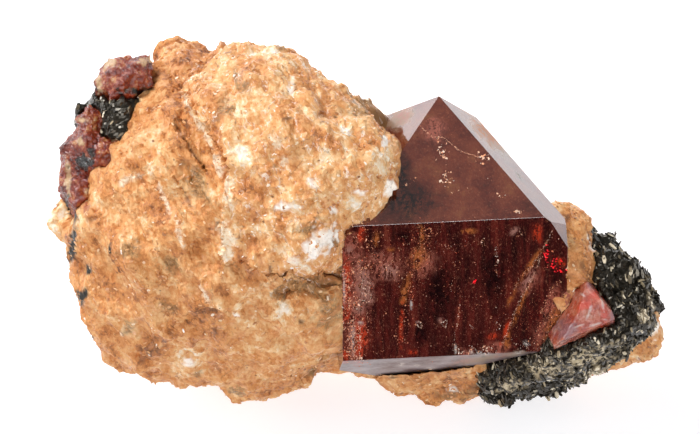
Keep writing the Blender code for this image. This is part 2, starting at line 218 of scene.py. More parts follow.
def skin_of(node):
    """A search tree over a CAD solid's surface."""
    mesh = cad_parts[node].data
    return BVHTree.FromPolygons([vertex.co for vertex in mesh.vertices],
                                [polygon.vertices for polygon in mesh.polygons])


def press_onto(points, node, reach, bite, free):
    """Draw the free points within reach of a CAD solid just into it, so that no gap shows."""
    skin = skin_of(node)
    for index in np.flatnonzero(free):
        point = points[index]
        spot, normal, _, distance = skin.find_nearest(Vector(point), reach)
        if spot is None or (Vector(point) - spot).dot(normal) < 0:
            continue
        pull = min(1.0, 2.0 * (1.0 - distance / reach))
        towards = (spot - Vector(point)).normalized()
        points[index] = Vector(point) + towards * pull * (distance + bite)


def grains_near(points, grain, seed):
    """Each point in grain sizes, and the four grain centres nearest to it."""
    spots = points / grain + np.array((seed, 2.7 * seed, 5.1 * seed))
    centres = [[centre[:] for centre in noise.voronoi(Vector(spot))[1]] for spot in spots]
    return spots, np.array(centres)


def grain_values(centres):
    """Three even numbers from -1 to 1 for each grain centre, always the same for one grain."""
    mixed = centres @ np.array(((12.99, 39.35, 73.16), (78.23, 11.14, 52.24), (37.72, 83.16, 9.15)))
    return 2.0 * np.modf(np.abs(np.sin(mixed)) * 437.585)[0] - 1.0


def chipped(points, grain, seed):
    """The height of a chipped surface at each point: tilted flats that meet in sharp ridges."""
    spots, centres = grains_near(points, grain, seed)
    away = spots[:, None, :] - centres
    reach = np.sqrt((away ** 2).sum(axis=2))
    planes = (grain_values(centres) * away).sum(axis=2) + 1.5 * (reach - reach[:, :1])
    return planes.min(axis=1)


def ripple(points, size, seed):
    """Smooth noise at each point, from about -1 to 1, for ragged edges and uneven wear."""
    shift = Vector((seed, 1.7 * seed, 3.1 * seed))
    return np.array([noise.fractal(Vector(point) + shift, 0.9, 2.0, 3)
                     for point in points / size], dtype=np.float32)


def show_places(points):
    """Where points lie across, up and out of the show side, in millimetres from the tip."""
    offsets = (points - np.array(tip)) / MM
    return offsets @ np.array(ACROSS), offsets @ np.array(RISE), offsets @ np.array(OUT)


def patch(places, ragged, across, rise, wide, tall, turn=0.0, sharpness=1.5):
    """How far a ragged patch of the show side covers each point, from 0 to 1."""
    x, y = places[0] - across, places[1] - rise
    turned_x = x * cos(radians(turn)) + y * sin(radians(turn))
    turned_y = y * cos(radians(turn)) - x * sin(radians(turn))
    reach = np.sqrt((turned_x / wide) ** 2 + (turned_y / tall) ** 2)
    return np.clip(sharpness * (1.0 - reach + 0.6 * ragged), 0, 1)


def cover(places, ragged, patches, sharpness=1.5):
    """How far any of these patches covers each point, from 0 to 1."""
    return np.max([patch(places, ragged, *outline, sharpness=sharpness) for outline in patches],
                  axis=0)


def paint(piece, name, values):
    """Keep a value for every vertex of a piece, for its material to read."""
    layer = piece.data.attributes.new(name, "FLOAT", "POINT")
    layer.data.foreach_set("value", np.asarray(values, dtype=np.float32))


def inside(across, rise, outline):
    """Which places lie inside an outline of (across, rise) corners."""
    within = np.zeros(len(across), dtype=bool)
    for (x0, y0), (x1, y1) in zip(outline, outline[1:] + outline[:1]):
        if y0 != y1:
            spans = (y0 > rise) != (y1 > rise)
            within ^= spans & (across < x0 + (rise - y0) * (x1 - x0) / (y1 - y0))
    return within


def terraces(points, direction, spacing, seed):
    """Parallel cleavage steps, from -0.5 to 0.5, leaning one on another like fallen dominoes."""
    phase = points @ np.array(direction) / spacing + 0.5 * ripple(points, 3 * spacing, seed)
    return phase - np.floor(phase) - 0.5


def clearance(points, nodes, reach):
    """How far each point is from these CAD solids, from 0 where they touch to 1 at the reach."""
    clear = np.ones(len(points))
    for node in nodes:
        skin = skin_of(node)
        for index, point in enumerate(points):
            distance = skin.find_nearest(Vector(point), reach)[3]
            if distance is not None:
                clear[index] = min(clear[index], distance / reach)
    return clear


def stepped(points, size, seed):
    """Irregular cleavage plateaus, from about -1 to 1, with sharp edges between them."""
    level = 3.5 * ripple(points, size, seed)
    rest = level - np.floor(level)
    return (np.floor(level) + np.clip(7.0 * rest - 3.0, 0, 1)) / 3.5


LUMP_GRAIN = 0.3 * MM           # the skin in which the rock's big lumps are raised
BIG_FLATS = 0.028               # the share of that skin's faces that is left, as hammered flats
ROCK_GRAIN = 0.17 * MM          # the skin that carries all finer relief
KEPT_SKIN = 0.44                # and the share of it that is kept at the end
SOFT_EDGE = radians(24)         # edges blunter than this are shaded smooth
# How far each kind of relief stands out or is sunk, in millimetres.
HEIGHT = {"lumps": 0.6, "flats": 0.20, "grains": 0.11, "plateaus": 0.45, "terraces": 0.30,
          "veins": 0.30, "grooves": 0.55, "block": 0.45, "ledge": 0.5, "recess": 0.7, "sugar": 0.10}
# The raised block's edge, and where the cleavage steps show: the left side of it and its nose.
RAISED_BLOCK = (
    (-17.0, 4.6), (-20.4, 1.1), (-20.2, 0.0), (-19.0, -1.8), (-17.5, -4.0), (-16.6, -6.0),
    (-17.2, -8.3), (-17.4, -10.3), (-17.2, -13.2), (-15.8, -13.1), (-13.5, -13.8), (-11.1, -13.9),
    (-7.0, -13.6), (-6.0, -10.0), (-1.0, -6.0), (-2.0, 0.0), (-8.0, 5.0), (-13.0, 7.0))
LEFT_STEPS = ((-19.0, -4.0, 3.2, 5.0, 20), (-22.0, -10.0, 4.5, 6.0, 20))
NOSE_STEPS = ((-8.2, -9.4, 3.2, 2.6), (-5.2, -5.6, 2.0, 2.6))
NOSE_FACET = ((-4.8, -5.4, 1.2, 1.7),)
# Long cleavage veins and grooves, and the hollow under the ledge.
VEINS = ((-18.8, -2.9, 0.40, 3.6, 27), (-17.6, -5.6, 0.35, 1.6, 20))
GROOVES = ((-19.9, -4.0, 0.24, 3.6, 34), (-21.2, -6.4, 0.16, 2.4, 30),
           (-18.2, -4.8, 0.14, 1.8, 24))
RECESS = ((-10.8, -15.4, 2.4, 1.0, 4),)
BREAK = 3.6 * MM                # how far apart the hammered flats lie
crystals = ("zircon_crystal", "small_zircon_crystal")
roughs = ("right_mica", "left_mica", "upper_zircon_cluster", "lower_zircon_cluster")
rock = copy_of("matrix_rock", "feldspar_matrix")
finish_with(rock, "REMESH", mode="VOXEL", voxel_size=LUMP_GRAIN)
points = points_of(rock)
lumps = HEIGHT["lumps"] * ripple(points, BREAK, 1.0) * clearance(points, crystals, 2.0 * MM)
swell(rock, lumps)
finish_with(rock, "DECIMATE", ratio=BIG_FLATS)
finish_with(rock, "REMESH", mode="VOXEL", voxel_size=ROCK_GRAIN)
points = points_of(rock)
normals = points_of(rock, "normal")
places = show_places(points)
ragged = (ripple(points, 1.3 * MM, 4.0)
          + 0.7 * grain_values(grains_near(points, 0.45 * MM, 9.0)[1][:, 0])[:, 0])
facing = normals @ np.array(OUT)


def covered(patches, raggedness=0.9, sharpness=1.5):
    """How far any of these patches covers each point of the rock, where it faces the viewer."""
    return cover(places, raggedness * ragged, patches, sharpness) * (facing > 0)


wander = 0.25 * ragged
raised = inside(places[0] + wander, places[1] + wander, RAISED_BLOCK) & (facing > 0)
under_ledge = inside(places[0] + wander, places[1] + wander + 0.35, RAISED_BLOCK) & ~raised
under_ledge &= (places[0] > -14.2) & (places[1] < -10) & (facing > 0)
# The left side splits along steep planes, so its plateaus are drawn out that way.
steep = np.array((RISE - ACROSS * 0.45).normalized())
drawn = points - 0.6 * np.outer(points @ steep, steep)
flats = (HEIGHT["flats"] * chipped(drawn, 1.1 * MM, 2.0)
         + HEIGHT["grains"] * chipped(points, 0.45 * MM, 3.0))
flats -= flats.mean()
flats += np.where(raised, HEIGHT["plateaus"] * stepped(points, 2.2 * MM, 5.0),
                  HEIGHT["plateaus"] * stepped(drawn, 1.9 * MM, 6.0))
flats *= 1.0 - 0.8 * covered(NOSE_FACET)
for zone, lean, spacing, seed in ((LEFT_STEPS, ACROSS * 0.90 + RISE * 0.43, 1.9 * MM, 5.0),
                                  (NOSE_STEPS, ACROSS * 0.70 - RISE * 0.71, 1.2 * MM, 7.0)):
    flats += HEIGHT["terraces"] * covered(zone) * terraces(points, lean, spacing, seed)
flats += HEIGHT["veins"] * covered(VEINS) - HEIGHT["grooves"] * covered(GROOVES)
flats += (HEIGHT["block"] * raised - HEIGHT["ledge"] * under_ledge
          - HEIGHT["recess"] * covered(RECESS))
free = clearance(points, crystals, 1.6 * MM) * np.clip(points[:, 2] / (1.0 * MM), 0, 1)
points = points + normals * (flats * MM * free)[:, None]
# Where the big crystal shows, the rock that would lap over it lies just behind its faces.
CRYSTAL_SHOWS = (
    ((8.1, -13.9), (10.2, -13.3), (9.9, -15.5), (9.4, -17.8), (8.1, -18.3)),
    ((-7.6, -10.6), (-7.0, -10.1), (-5.7, -9.6), (-5.4, -10.4), (-7.0, -11.8), (-7.8, -12.2)),
    ((-6.2, -20.8), (8.1, -19.5), (8.3, -20.4), (5.0, -21.3), (3.0, -21.8), (0.9, -22.3),
     (-3.3, -22.7), (-6.0, -22.7)),
)
BEHIND_FACE = 0.3 * MM
WELL_OUT = 30                   # where the lines of sight start, in millimetres
crystal_skin = skin_of("zircon_crystal")
for outline in CRYSTAL_SHOWS:
    for index in np.flatnonzero(inside(places[0], places[1], outline) & (facing > -0.3)):
        lapping = Vector(points[index])
        spot = crystal_skin.ray_cast(lapping + OUT * WELL_OUT * MM, -OUT)[0]
        if spot is not None and (lapping - spot).dot(OUT) > -BEHIND_FACE:
            points[index] = spot - OUT * BEHIND_FACE
# At its left the rock closes up to the prism.  Under the foot a lip stands lower, a little clear.
closing = np.interp(places[1], (-21.2, -20.0, -18.5, -15.0, -14.2), (0.9, 1.4, 0.95, 0.75, 0.0))
closing *= np.clip((places[0] + 10.4) / 1.8, 0, 1) * (places[0] < -7.6) * (places[2] > -6.0)
closing *= (places[1] < -14.2) & (places[1] > -21.4)
points += np.outer(closing * MM, np.array(ACROSS))
foot_line = np.interp(places[0], (-3.3, 0.9, 3.0, 5.0, 8.2), (-22.7, -22.3, -21.8, -21.3, -20.4))
clear_of_foot = (places[0] > -6.0) & (places[0] < 8.2) & (places[2] > -14.0)
clear_of_foot &= np.abs(places[1] - foot_line + 0.6) < 1.0
LIP_SUNK, LIP_LOWERED = 2.2 * MM, 0.4 * MM
lip = np.clip(np.minimum(places[0] + 6.5, 9.0 - places[0]), 0, 1) * (places[1] < foot_line + 0.1)
lip *= np.clip((places[2] + 15.0) / 2.0, 0, 1) * (places[2] < -3.5) * (places[1] > -26.0)
points -= np.outer(LIP_SUNK * lip, np.array(OUT))
lip *= np.clip((foot_line - 0.5 - places[1]) / 1.4, 0, 1)
points -= np.outer(LIP_LOWERED * lip, np.array(RISE))
for crystal_node in crystals:
    press_onto(points, crystal_node, reach=1.4 * MM, bite=0.03 * MM, free=~clear_of_foot)
for rough_node in roughs:
    press_onto(points, rough_node, reach=1.1 * MM, bite=0.05 * MM, free=points[:, 2] > -1)
sugar = HEIGHT["sugar"] * MM * chipped(points, 0.5 * MM, 6.0) * np.clip(free, 0.35, 1)
points += normals * sugar[:, None]
points[:, 2] = np.maximum(points[:, 2], 0.0)
put_points(rock, points)

# The stains of the show side: across, rise, and the patch's reach each way in millimetres, then,
# where it is turned, by how many degrees.
STAINS = {
    "vein": (
        (-18.8, -2.9, 0.26, 3.4, 27), (-17.4, -5.6, 0.4, 1.4, 20), (-16.5, -8.0, 0.45, 1.6, 5),
        (-16.9, -11.4, 0.7, 1.6, 10), (-13.0, -3.6, 0.3, 0.5, 30), (-12.2, -5.4, 0.4, 0.6),
        (-22.0, -8.0, 0.22, 2.0, 24), (-20.6, -11.0, 0.2, 1.6, 16), (-24.4, -6.6, 1.0, 0.35, 20),
        (-18.8, -15.8, 0.3, 0.9, 30), (-11.6, -12.9, 1.8, 0.2, -30)),
    "pale": (
        (-18.6, -2.9, 0.45, 3.4, 27), (-4.7, -5.4, 1.2, 1.6), (-16.8, -11.0, 0.9, 2.2, 10),
        (-16.4, -7.0, 0.9, 1.8), (-15.7, -4.9, 0.9, 0.9), (-13.0, -3.6, 0.4, 0.6, 30),
        (-11.9, 0.2, 0.3, 0.9), (-7.5, -3.1, 1.0, 1.0, -30), (-11.6, -8.8, 0.9, 0.7),
        (-4.5, -5.2, 0.8, 1.5), (-22.6, -6.2, 1.6, 1.0, -20), (-20.5, -9.0, 0.4, 2.4, 30),
        (-13.8, 3.4, 1.6, 0.7), (-17.8, 0.6, 0.9, 0.6), (-12.4, -16.9, 0.8, 0.7, 30),
        (-16.4, -17.4, 0.7, 0.3), (-17.8, -16.4, 0.8, 0.7, 30), (-20.4, -21.2, 1.9, 1.5, -10),
        (-30.9, -9.8, 0.9, 1.6), (-9.6, -5.2, 1.4, 0.8, 20), (-7.0, -8.5, 1.2, 0.9),
        (-13.8, -10.2, 0.8, 1.2), (-0.8, -23.6, 1.6, 0.5, 10), (-14.6, -1.2, 0.5, 0.5),
        (-8.4, 0.6, 0.5, 0.4), (17.8, -19.4, 0.6, 1.0)),
    "white": (
        (-9.7, -11.5, 0.75, 1.5, -48), (-8.9, -10.9, 0.5, 0.9, -30), (-10.2, -12.2, 0.5, 0.5),
        (-12.0, -8.8, 0.9, 0.45), (-11.9, 0.2, 0.18, 0.7), (-7.6, -3.0, 0.5, 0.4, -30),
        (-4.6, -4.1, 0.3, 0.5), (-20.2, -21.2, 0.5, 0.3), (-16.3, -17.5, 0.3, 0.2),
        (-8.7, -9.0, 0.3, 0.5, 40), (-6.3, -7.6, 0.35, 0.2), (17.7, -19.0, 0.7, 1.0),
        (12.2, -11.6, 0.1, 0.8, 15), (1.2, -23.6, 0.4, 0.15), (-4.0, -7.6, 0.4, 0.9, 20),
        (-10.2, -7.0, 0.25, 0.5, 40)),
    "rust": (
        (-14.9, 1.8, 0.6, 0.5, 20), (-17.7, -3.6, 1.2, 1.4), (-14.2, -8.0, 1.6, 2.2, -20),
        (-22.0, -9.6, 1.3, 2.4, 20), (-20.4, 3.2, 3.6, 1.6), (-26.3, -14.6, 1.8, 4.2, 10),
        (11.6, -11.0, 1.8, 3.4), (-9.2, -14.4, 1.2, 0.8), (-19.0, -17.5, 3.0, 2.0),
        (-5.6, -1.0, 2.2, 0.9, -22), (-11.8, -1.0, 1.4, 0.6), (-23.0, -20.0, 2.0, 1.2),
        (-21.0, 0.0, 1.6, 2.2, 20), (-10.2, -6.0, 0.8, 0.6), (-12.4, -4.8, 0.7, 0.9),
        (0.5, -23.6, 4.0, 0.9, 5), (-22.2, -22.4, 0.4, 0.4)),
    # The first two grey patches lie in the recess under the ledge: brown-grey stone, darkened there
    # as painted shade.
    "grey": (
        (-10.6, -15.2, 2.8, 1.1, 5), (-9.0, -17.6, 1.3, 2.4), (-10.4, -10.4, 1.2, 0.5, 30),
        (-8.6, -11.2, 0.5, 1.0, -20), (-19.6, -6.4, 0.9, 2.6, 25), (-6.0, -1.4, 2.0, 0.9, -22),
        (-21.2, -13.4, 0.8, 1.0), (-21.6, -17.0, 0.8, 0.8), (-24.6, -12.4, 1.2, 0.8),
        (-25.0, -18.6, 0.6, 0.8), (-19.6, -22.6, 0.5, 0.6), (-16.3, -23.8, 0.7, 0.4),
        (-10.2, -22.4, 0.7, 0.6, 30), (-13.0, 3.9, 0.8, 0.4, -20), (10.2, -13.4, 0.7, 1.0),
        (2.0, -24.0, 2.4, 0.6), (-15.6, 0.8, 0.5, 1.1, 40), (-17.2, -1.4, 1.0, 1.0),
        (-7.6, -13.9, 0.8, 0.5)),
    "umber": ((-5.6, -1.3, 2.4, 0.8, -32), (-4.9, -2.0, 1.8, 0.6, -36)),
    "blush": (
        (10.0, -16.6, 2.6, 2.2), (8.6, -19.4, 1.6, 1.4), (-28.2, -8.8, 0.8, 0.8),
        (-27.0, 2.4, 1.2, 0.5)),
    "black": (
        (-29.4, -11.8, 0.3, 1.5, -15), (-28.3, -14.0, 0.25, 0.35), (-28.9, -16.2, 0.4, 1.0, -35),
        (-28.3, -19.6, 0.2, 0.4), (-29.8, -8.6, 0.35, 1.2, -15), (-27.8, -9.9, 0.35, 0.12),
        (-26.2, -12.2, 0.15, 0.5, -10), (-5.4, -23.2, 0.7, 0.12, -8), (-1.2, -24.6, 0.3, 0.12)),
    # Dark pits, and dark lines in the grooves and along the ledge's edge: painted shade.
    "pit_shade": (
        (-16.8, 3.1, 0.12, 0.25), (-17.6, 2.3, 0.08, 0.35, 30), (-12.1, -2.1, 0.45, 0.12, 20),
        (-16.0, -2.5, 0.14, 0.3, -20), (-13.1, -5.6, 0.16, 0.12), (-15.9, -11.0, 0.2, 0.14, -40),
        (-15.5, -10.4, 0.12, 0.12), (-11.0, -18.1, 0.25, 0.2), (-16.5, -1.4, 0.3, 0.1),
        (-8.3, -1.9, 0.3, 0.1, -20), (-9.5, -2.6, 0.2, 0.08), (-12.4, -14.0, 2.0, 0.09, -2),
        (-19.9, -4.0, 0.09, 3.2, 34), (-29.0, -10.0, 0.5, 0.2, 10), (-11.7, 0.6, 0.1, 0.1),
        (10.6, -12.6, 0.2, 0.12, 30), (11.6, -13.4, 0.12, 0.2), (10.9, -14.6, 0.2, 0.1, -20),
        (12.2, -11.0, 0.12, 0.2, 20), (11.0, -10.0, 0.3, 0.1, 30), (12.0, -15.2, 0.12, 0.2),
        (-13.3, -13.5, 0.1, 0.6), (-20.2, -8.0, 0.08, 1.2, 28), (3.0, -23.4, 0.5, 0.12),
        (-3.6, -22.9, 0.4, 0.1)),
}
for stain, patches in STAINS.items():
    crisp = stain in ("white", "black", "pit_shade", "vein")
    paint(rock, stain, covered(patches, 0.3 if stain == "pit_shade" else 0.9, 4.0 if crisp else 1.5))
# Where the rock is freshly split, given in the same way.
FRESH_SPLITS = ((-7.4, -6.0, 6.6, 6.4, -20), (-12.0, 1.5, 6.0, 3.4, -30), (-3.5, -7.0, 3.0, 4.0),
                (-9.5, -14.0, 5.0, 2.6, 10))
fresh = np.maximum(0.75 * raised, covered(FRESH_SPLITS))
paint(rock, "fresh", fresh)
# Painted shade: darker where the relief is sunk, and darkest in the strip under the ledge.
hollow_shade = np.clip(-0.7 * ripple(points, BREAK, 1.0) - 1.6 * flats, 0, 1)
paint(rock, "hollow_shade", hollow_shade + 0.9 * under_ledge)
out_of_rock = points_of(rock, "normal")
finish_with(rock, "DECIMATE", ratio=KEPT_SKIN)

feldspar, tree, surface = new_material("iron_stained_feldspar", Roughness=0.55, IOR=1.53)
object_place = add_node(tree, "TexCoord").outputs["Object"]
cloud = add_node(tree, "TexNoise", {"Vector": object_place, "Scale": 1 / (3.4 * MM), "Detail": 6.0,
                                    "Roughness": 0.62, "Distortion": 0.6})
# The cleavage lies steeply across the show side, and iron has drawn it out in streaks.
cleavage = (RISE - ACROSS * 0.35).to_track_quat("Z", "X").to_euler()
drawn_out, cleaved = [
    add_node(tree, "Mapping", {"Vector": object_place, "Rotation": cleavage,
                               "Scale": (wide * MM, wide * MM, long * MM)}, vector_type="TEXTURE")
    for wide, long in ((0.7, 4.2), (0.62, 1.7))]
streaks, fine, sugar = [
    add_node(tree, "TexNoise", {"Vector": place, "Scale": scale, "Detail": detail,
                                "Roughness": roughness})
    for place, scale, detail, roughness in (
        (drawn_out, 1.0, 5.0, 0.6), (cleaved, 1.0, 6.0, 0.75),
        (object_place, 1 / (0.22 * MM), 3.0, 0.7))]
# The borders between grains, and the cracks, wander by up to about a millimetre.
BEND = 1.1 * MM
bent = add_node(tree, "MixRGB", (BEND, object_place, fine.outputs["Color"]), blend_type="ADD")
small_grains, grains = [
    add_node(tree, "TexVoronoi", {"Vector": bent, "Scale": 1 / (size * MM)})
    for size in (0.32, 1.0)]
splits, cracks = [
    add_node(tree, "TexVoronoi", {"Vector": bent, "Scale": 1 / (size * MM)},
             feature="DISTANCE_TO_EDGE") for size in (0.8, 3.6)]
small_tone, grain_tone = [add_node(tree, "SeparateColor", (cells.outputs["Color"],))
                          for cells in (small_grains, grains)]
stains = {kind: add_node(tree, "Attribute", attribute_name=kind).outputs["Fac"]
          for kind in (*STAINS, "hollow_shade", "fresh")}

# Iron soaked in unevenly: each part of this sum makes the stone paler or more rusty.
tone = -0.775
for source, share in ((cloud, 0.95), (fine, 0.44), (sugar, 0.36), (streaks, 0.56),
                      (grain_tone.outputs["Red"], 0.17), (small_tone.outputs["Red"], 0.17),
                      (stains["pale"], 0.21), (stains["fresh"], 0.05), (stains["rust"], -0.14)):
    tone = add_node(tree, "Math", (source, share, tone), operation="MULTIPLY_ADD")
stone = add_node(tree, "ValToRGB", (tone,), stops=(
    (0.22, "#7a4820"), (0.97, "#f6e9d8"), (0.36, "#b8723a"), (0.48, "#d18c4e"), (0.60, "#dca166"),
    (0.72, "#e8ba84"), (0.84, "#efd2aa")))
# Fresh splits glint white and old cracks are dark; scattered specks are painted dark brown, and the
# listed pits as painted shade.
split_line = add_node(tree, "MapRange", (splits, 0.0, 0.07, 1.0, 0.0))
split_here = add_node(tree, "MapRange", (fine, 0.50, 0.60, 0.0, 1.0))
crack_line = add_node(tree, "MapRange", (cracks, 0.0, 0.016, 1.0, 0.0))
crack_here = add_node(tree, "MapRange", (cloud, 0.52, 0.42, 0.0, 0.8))
pits = add_node(tree, "TexNoise", {"Vector": object_place, "Scale": 1 / (0.5 * MM), "Detail": 2.0})
pitted = add_node(tree, "MapRange", (pits, 0.30, 0.24, 0.0, 1.0))
uneven = add_node(tree, "MapRange", (sugar, 0.38, 0.56, 0.25, 1.0))
patchy = add_node(tree, "MapRange", (small_tone.outputs["Green"], 0.0, 0.4, 0.75, 1.0))
split, cracked, shaded, blushed, greyed, whitened, veined = [
    add_node(tree, "Math", factors, operation="MULTIPLY") for factors in (
        (split_line, split_here), (crack_line, crack_here), (stains["hollow_shade"], 0.27),
        (stains["blush"], uneven), (stains["grey"], uneven), (stains["white"], patchy),
        (stains["vein"], uneven))]
split = add_node(tree, "Math", (split, stains["fresh"]), operation="MULTIPLY")
for share, code in (
        (greyed, "#8c683f"), (stains["umber"], "#92693a"), (shaded, "#9a6a3c"), (veined, "#f0dcc0"),
        (split, "#fff8ee"), (blushed, "#9a4e3c"), (whitened, "#fdf4ea"), (cracked, "#8a5a34"),
        (pitted, "#8c5a30"), (stains["pit_shade"], "#7e5430"), (stains["black"], "#24211a")):
    stone = add_node(tree, "MixRGB", (share, stone, srgb(code)))
gloss = add_node(tree, "MapRange", (grain_tone.outputs["Green"], 0.0, 1.0, 0.25, 0.8))
relief = add_node(tree, "Math", (sugar, 0.5, fine), operation="MULTIPLY_ADD")
relief = add_node(tree, "Math", (grains, 0.7, relief), operation="MULTIPLY_ADD")
bump = add_node(tree, "Bump", {"Height": relief, "Strength": 0.55, "Distance": 0.15 * MM})
connect(surface, {"Base Color": stone, "Roughness": gloss, "Normal": bump})
rock.data.materials.append(feldspar)
bpy.ops.object.shade_smooth_by_angle(angle=SOFT_EDGE)
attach(rock, "root")
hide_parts("matrix_rock")


# Small cleavage chips still stand on the broken surface and catch the light.
def crumb(corners, thickness):
    """A tiny prism, one unit across, to be copied many times."""
    bpy.ops.object.select_all(action="DESELECT")
    bpy.ops.mesh.primitive_cylinder_add(vertices=corners, radius=0.5, depth=thickness)
    return bpy.context.active_object


def strew(name, model, placings, tints, material):
    """Copies of a small model, one for each placing matrix, joined in one mesh with their tints."""
    corners = points_of(model)
    faces = [polygon.vertices[:] for polygon in model.data.polygons]
    rows = np.c_[corners, np.ones(len(corners))]
    moved = np.concatenate([(rows @ np.array(placing).T)[:, :3] for placing in placings])
    joined_faces = [[index + number * len(corners) for index in face]
                    for number in range(len(placings)) for face in faces]
    mesh = bpy.data.meshes.new(name)
    mesh.from_pydata(moved.tolist(), [], joined_faces)
    piece = bpy.data.objects.new(name, mesh)
    bpy.context.scene.collection.objects.link(piece)
    paint(piece, "tint", np.repeat(np.asarray(tints, dtype=np.float32), len(corners)))
    piece.data.materials.append(material)
    return piece


def tinted_material(name, stops, **shader):
    """A material whose colour follows the tint that each copy was given."""
    made, tree, surface = new_material(name, **shader)
    tint = add_node(tree, "Attribute", attribute_name="tint").outputs["Fac"]
    connect(surface, {"Base Color": add_node(tree, "ValToRGB", (tint,), stops)})
    return made


chip = crumb(5, 0.34)
chip_stone = tinted_material("feldspar_cleavage_chip", (
    (0.1, "#a0683a"), (1.0, "#fff8ee"), (0.35, "#cc8c54"), (0.55, "#deab78"), (0.78, "#f0d5b0")),
    Roughness=0.3, IOR=1.53)
CHIP_COUNT = 9000
CLEAVAGE_TURNS = (0.45, 2.25)   # the two ways that chips lie, in radians from straight across
SUGARY = ((11.2, -11.6, 2.0, 4.2), (0.5, -23.8, 4.4, 1.2, 5), (17.0, -20.0, 1.6, 1.6))
picker = random.Random(21)
pale = covered(STAINS["pale"])
sugary = covered(SUGARY, sharpness=3.0)
keep_off = covered(STAINS["pit_shade"], 0.3) + hollow_shade
placings, tints = [], []
for spot in picker.choices(range(len(points)), weights=1.0 + 5.0 * sugary, k=CHIP_COUNT):
    place = Vector(points[spot])
    if place.z < 0.6 * MM or keep_off[spot] > 0.4 + sugary[spot]:
        continue
    lean = Vector(out_of_rock[spot]) + Vector([picker.gauss(0, 0.3) for _ in range(3)])
    turn = picker.choice(CLEAVAGE_TURNS) + picker.gauss(0, 0.3)
    side = lean.cross(ACROSS * cos(turn) + RISE * sin(turn)).normalized()
    lie = Matrix((lean.normalized().cross(-side), side, lean.normalized())).transposed().to_4x4()
    size = picker.uniform(0.12, 0.42) * MM
    shape = Matrix.Diagonal((size, size * picker.uniform(0.25, 0.7), 0.6 * size, 1.0))
    placings.append(Matrix.Translation(place) @ lie @ shape)
    tint = picker.gauss(0.45, 0.14) + 0.25 * pale[spot] - picker.uniform(0, 0.35) * sugary[spot]
    tints.append(tint + (0.4 if picker.random() < 0.06 + 0.22 * fresh[spot] else 0.0))
chips = strew("cleavage_chips", chip, placings, tints, chip_stone)
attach(chips, "root")


# ---- Big crystal ----
# Zircon, zirconium silicate: a square prism closed by pyramids, red-brown from radiation damage
# and as bright as a cut gem where its faces are whole.  Healed cracks, rust and dust of other
# minerals hang in it along its length, just under the front faces.
ZIRCON_IOR = 1.93
EDGE_WEAR = 0.024 * MM
PAINT_GRID = 0.15 * MM          # how finely the front faces are cut, so that they can be painted
WORTH_CUTTING = 2.0 * MM * MM   # the smallest front face that is cut in this way


def face_at(across, rise):
    """The place and the normal of the big crystal's face that shows here."""
    spot, normal, _, _ = crystal_skin.ray_cast(show(across, rise, 40.0), -OUT)
    return spot, normal


def paint_kinds(piece, points, kinds, raggedness, seed, sharpness=1.5):
    """Paint every kind of patch on a piece, each kind as a value of its own."""
    places, ragged = show_places(points), raggedness * ripple(points, 0.5 * MM, seed)
    for kind, patches in kinds.items():
        paint(piece, kind, cover(places, ragged, patches, sharpness))


prism_normal = face_at(1.0, -15.0)[1]
pyramid_normal = face_at(0.0, -5.0)[1]
long_axis = (pyramid_normal - prism_normal * pyramid_normal.dot(prism_normal)).normalized()

zircon = copy_of("zircon_crystal", "zircon")
finish_with(zircon, "BEVEL", width=EDGE_WEAR, segments=2, limit_method="ANGLE",
            angle_limit=radians(8))
grid = bmesh.new()
grid.from_mesh(zircon.data)
bmesh.ops.dissolve_limit(grid, angle_limit=radians(0.5), verts=grid.verts, edges=grid.edges)
fronts = [face for face in grid.faces
          if face.normal.dot(OUT) > 0.1 and face.calc_area() > WORTH_CUTTING]
cut = set(fronts)
for face in fronts:
    cut.update(face.edges)
    cut.update(face.verts)
cut = list(cut)
for direction, first, last in ((ACROSS, -10.0, 12.0), (RISE, -24.0, 1.0)):
    for step in range(int((last - first) * MM / PAINT_GRID)):
        level = tip + direction * (first * MM + step * PAINT_GRID)
        cut = bmesh.ops.bisect_plane(grid, geom=cut, plane_co=level, plane_no=direction,
                                     dist=0.001 * MM)["geom"]
grid.to_mesh(zircon.data)
grid.free()

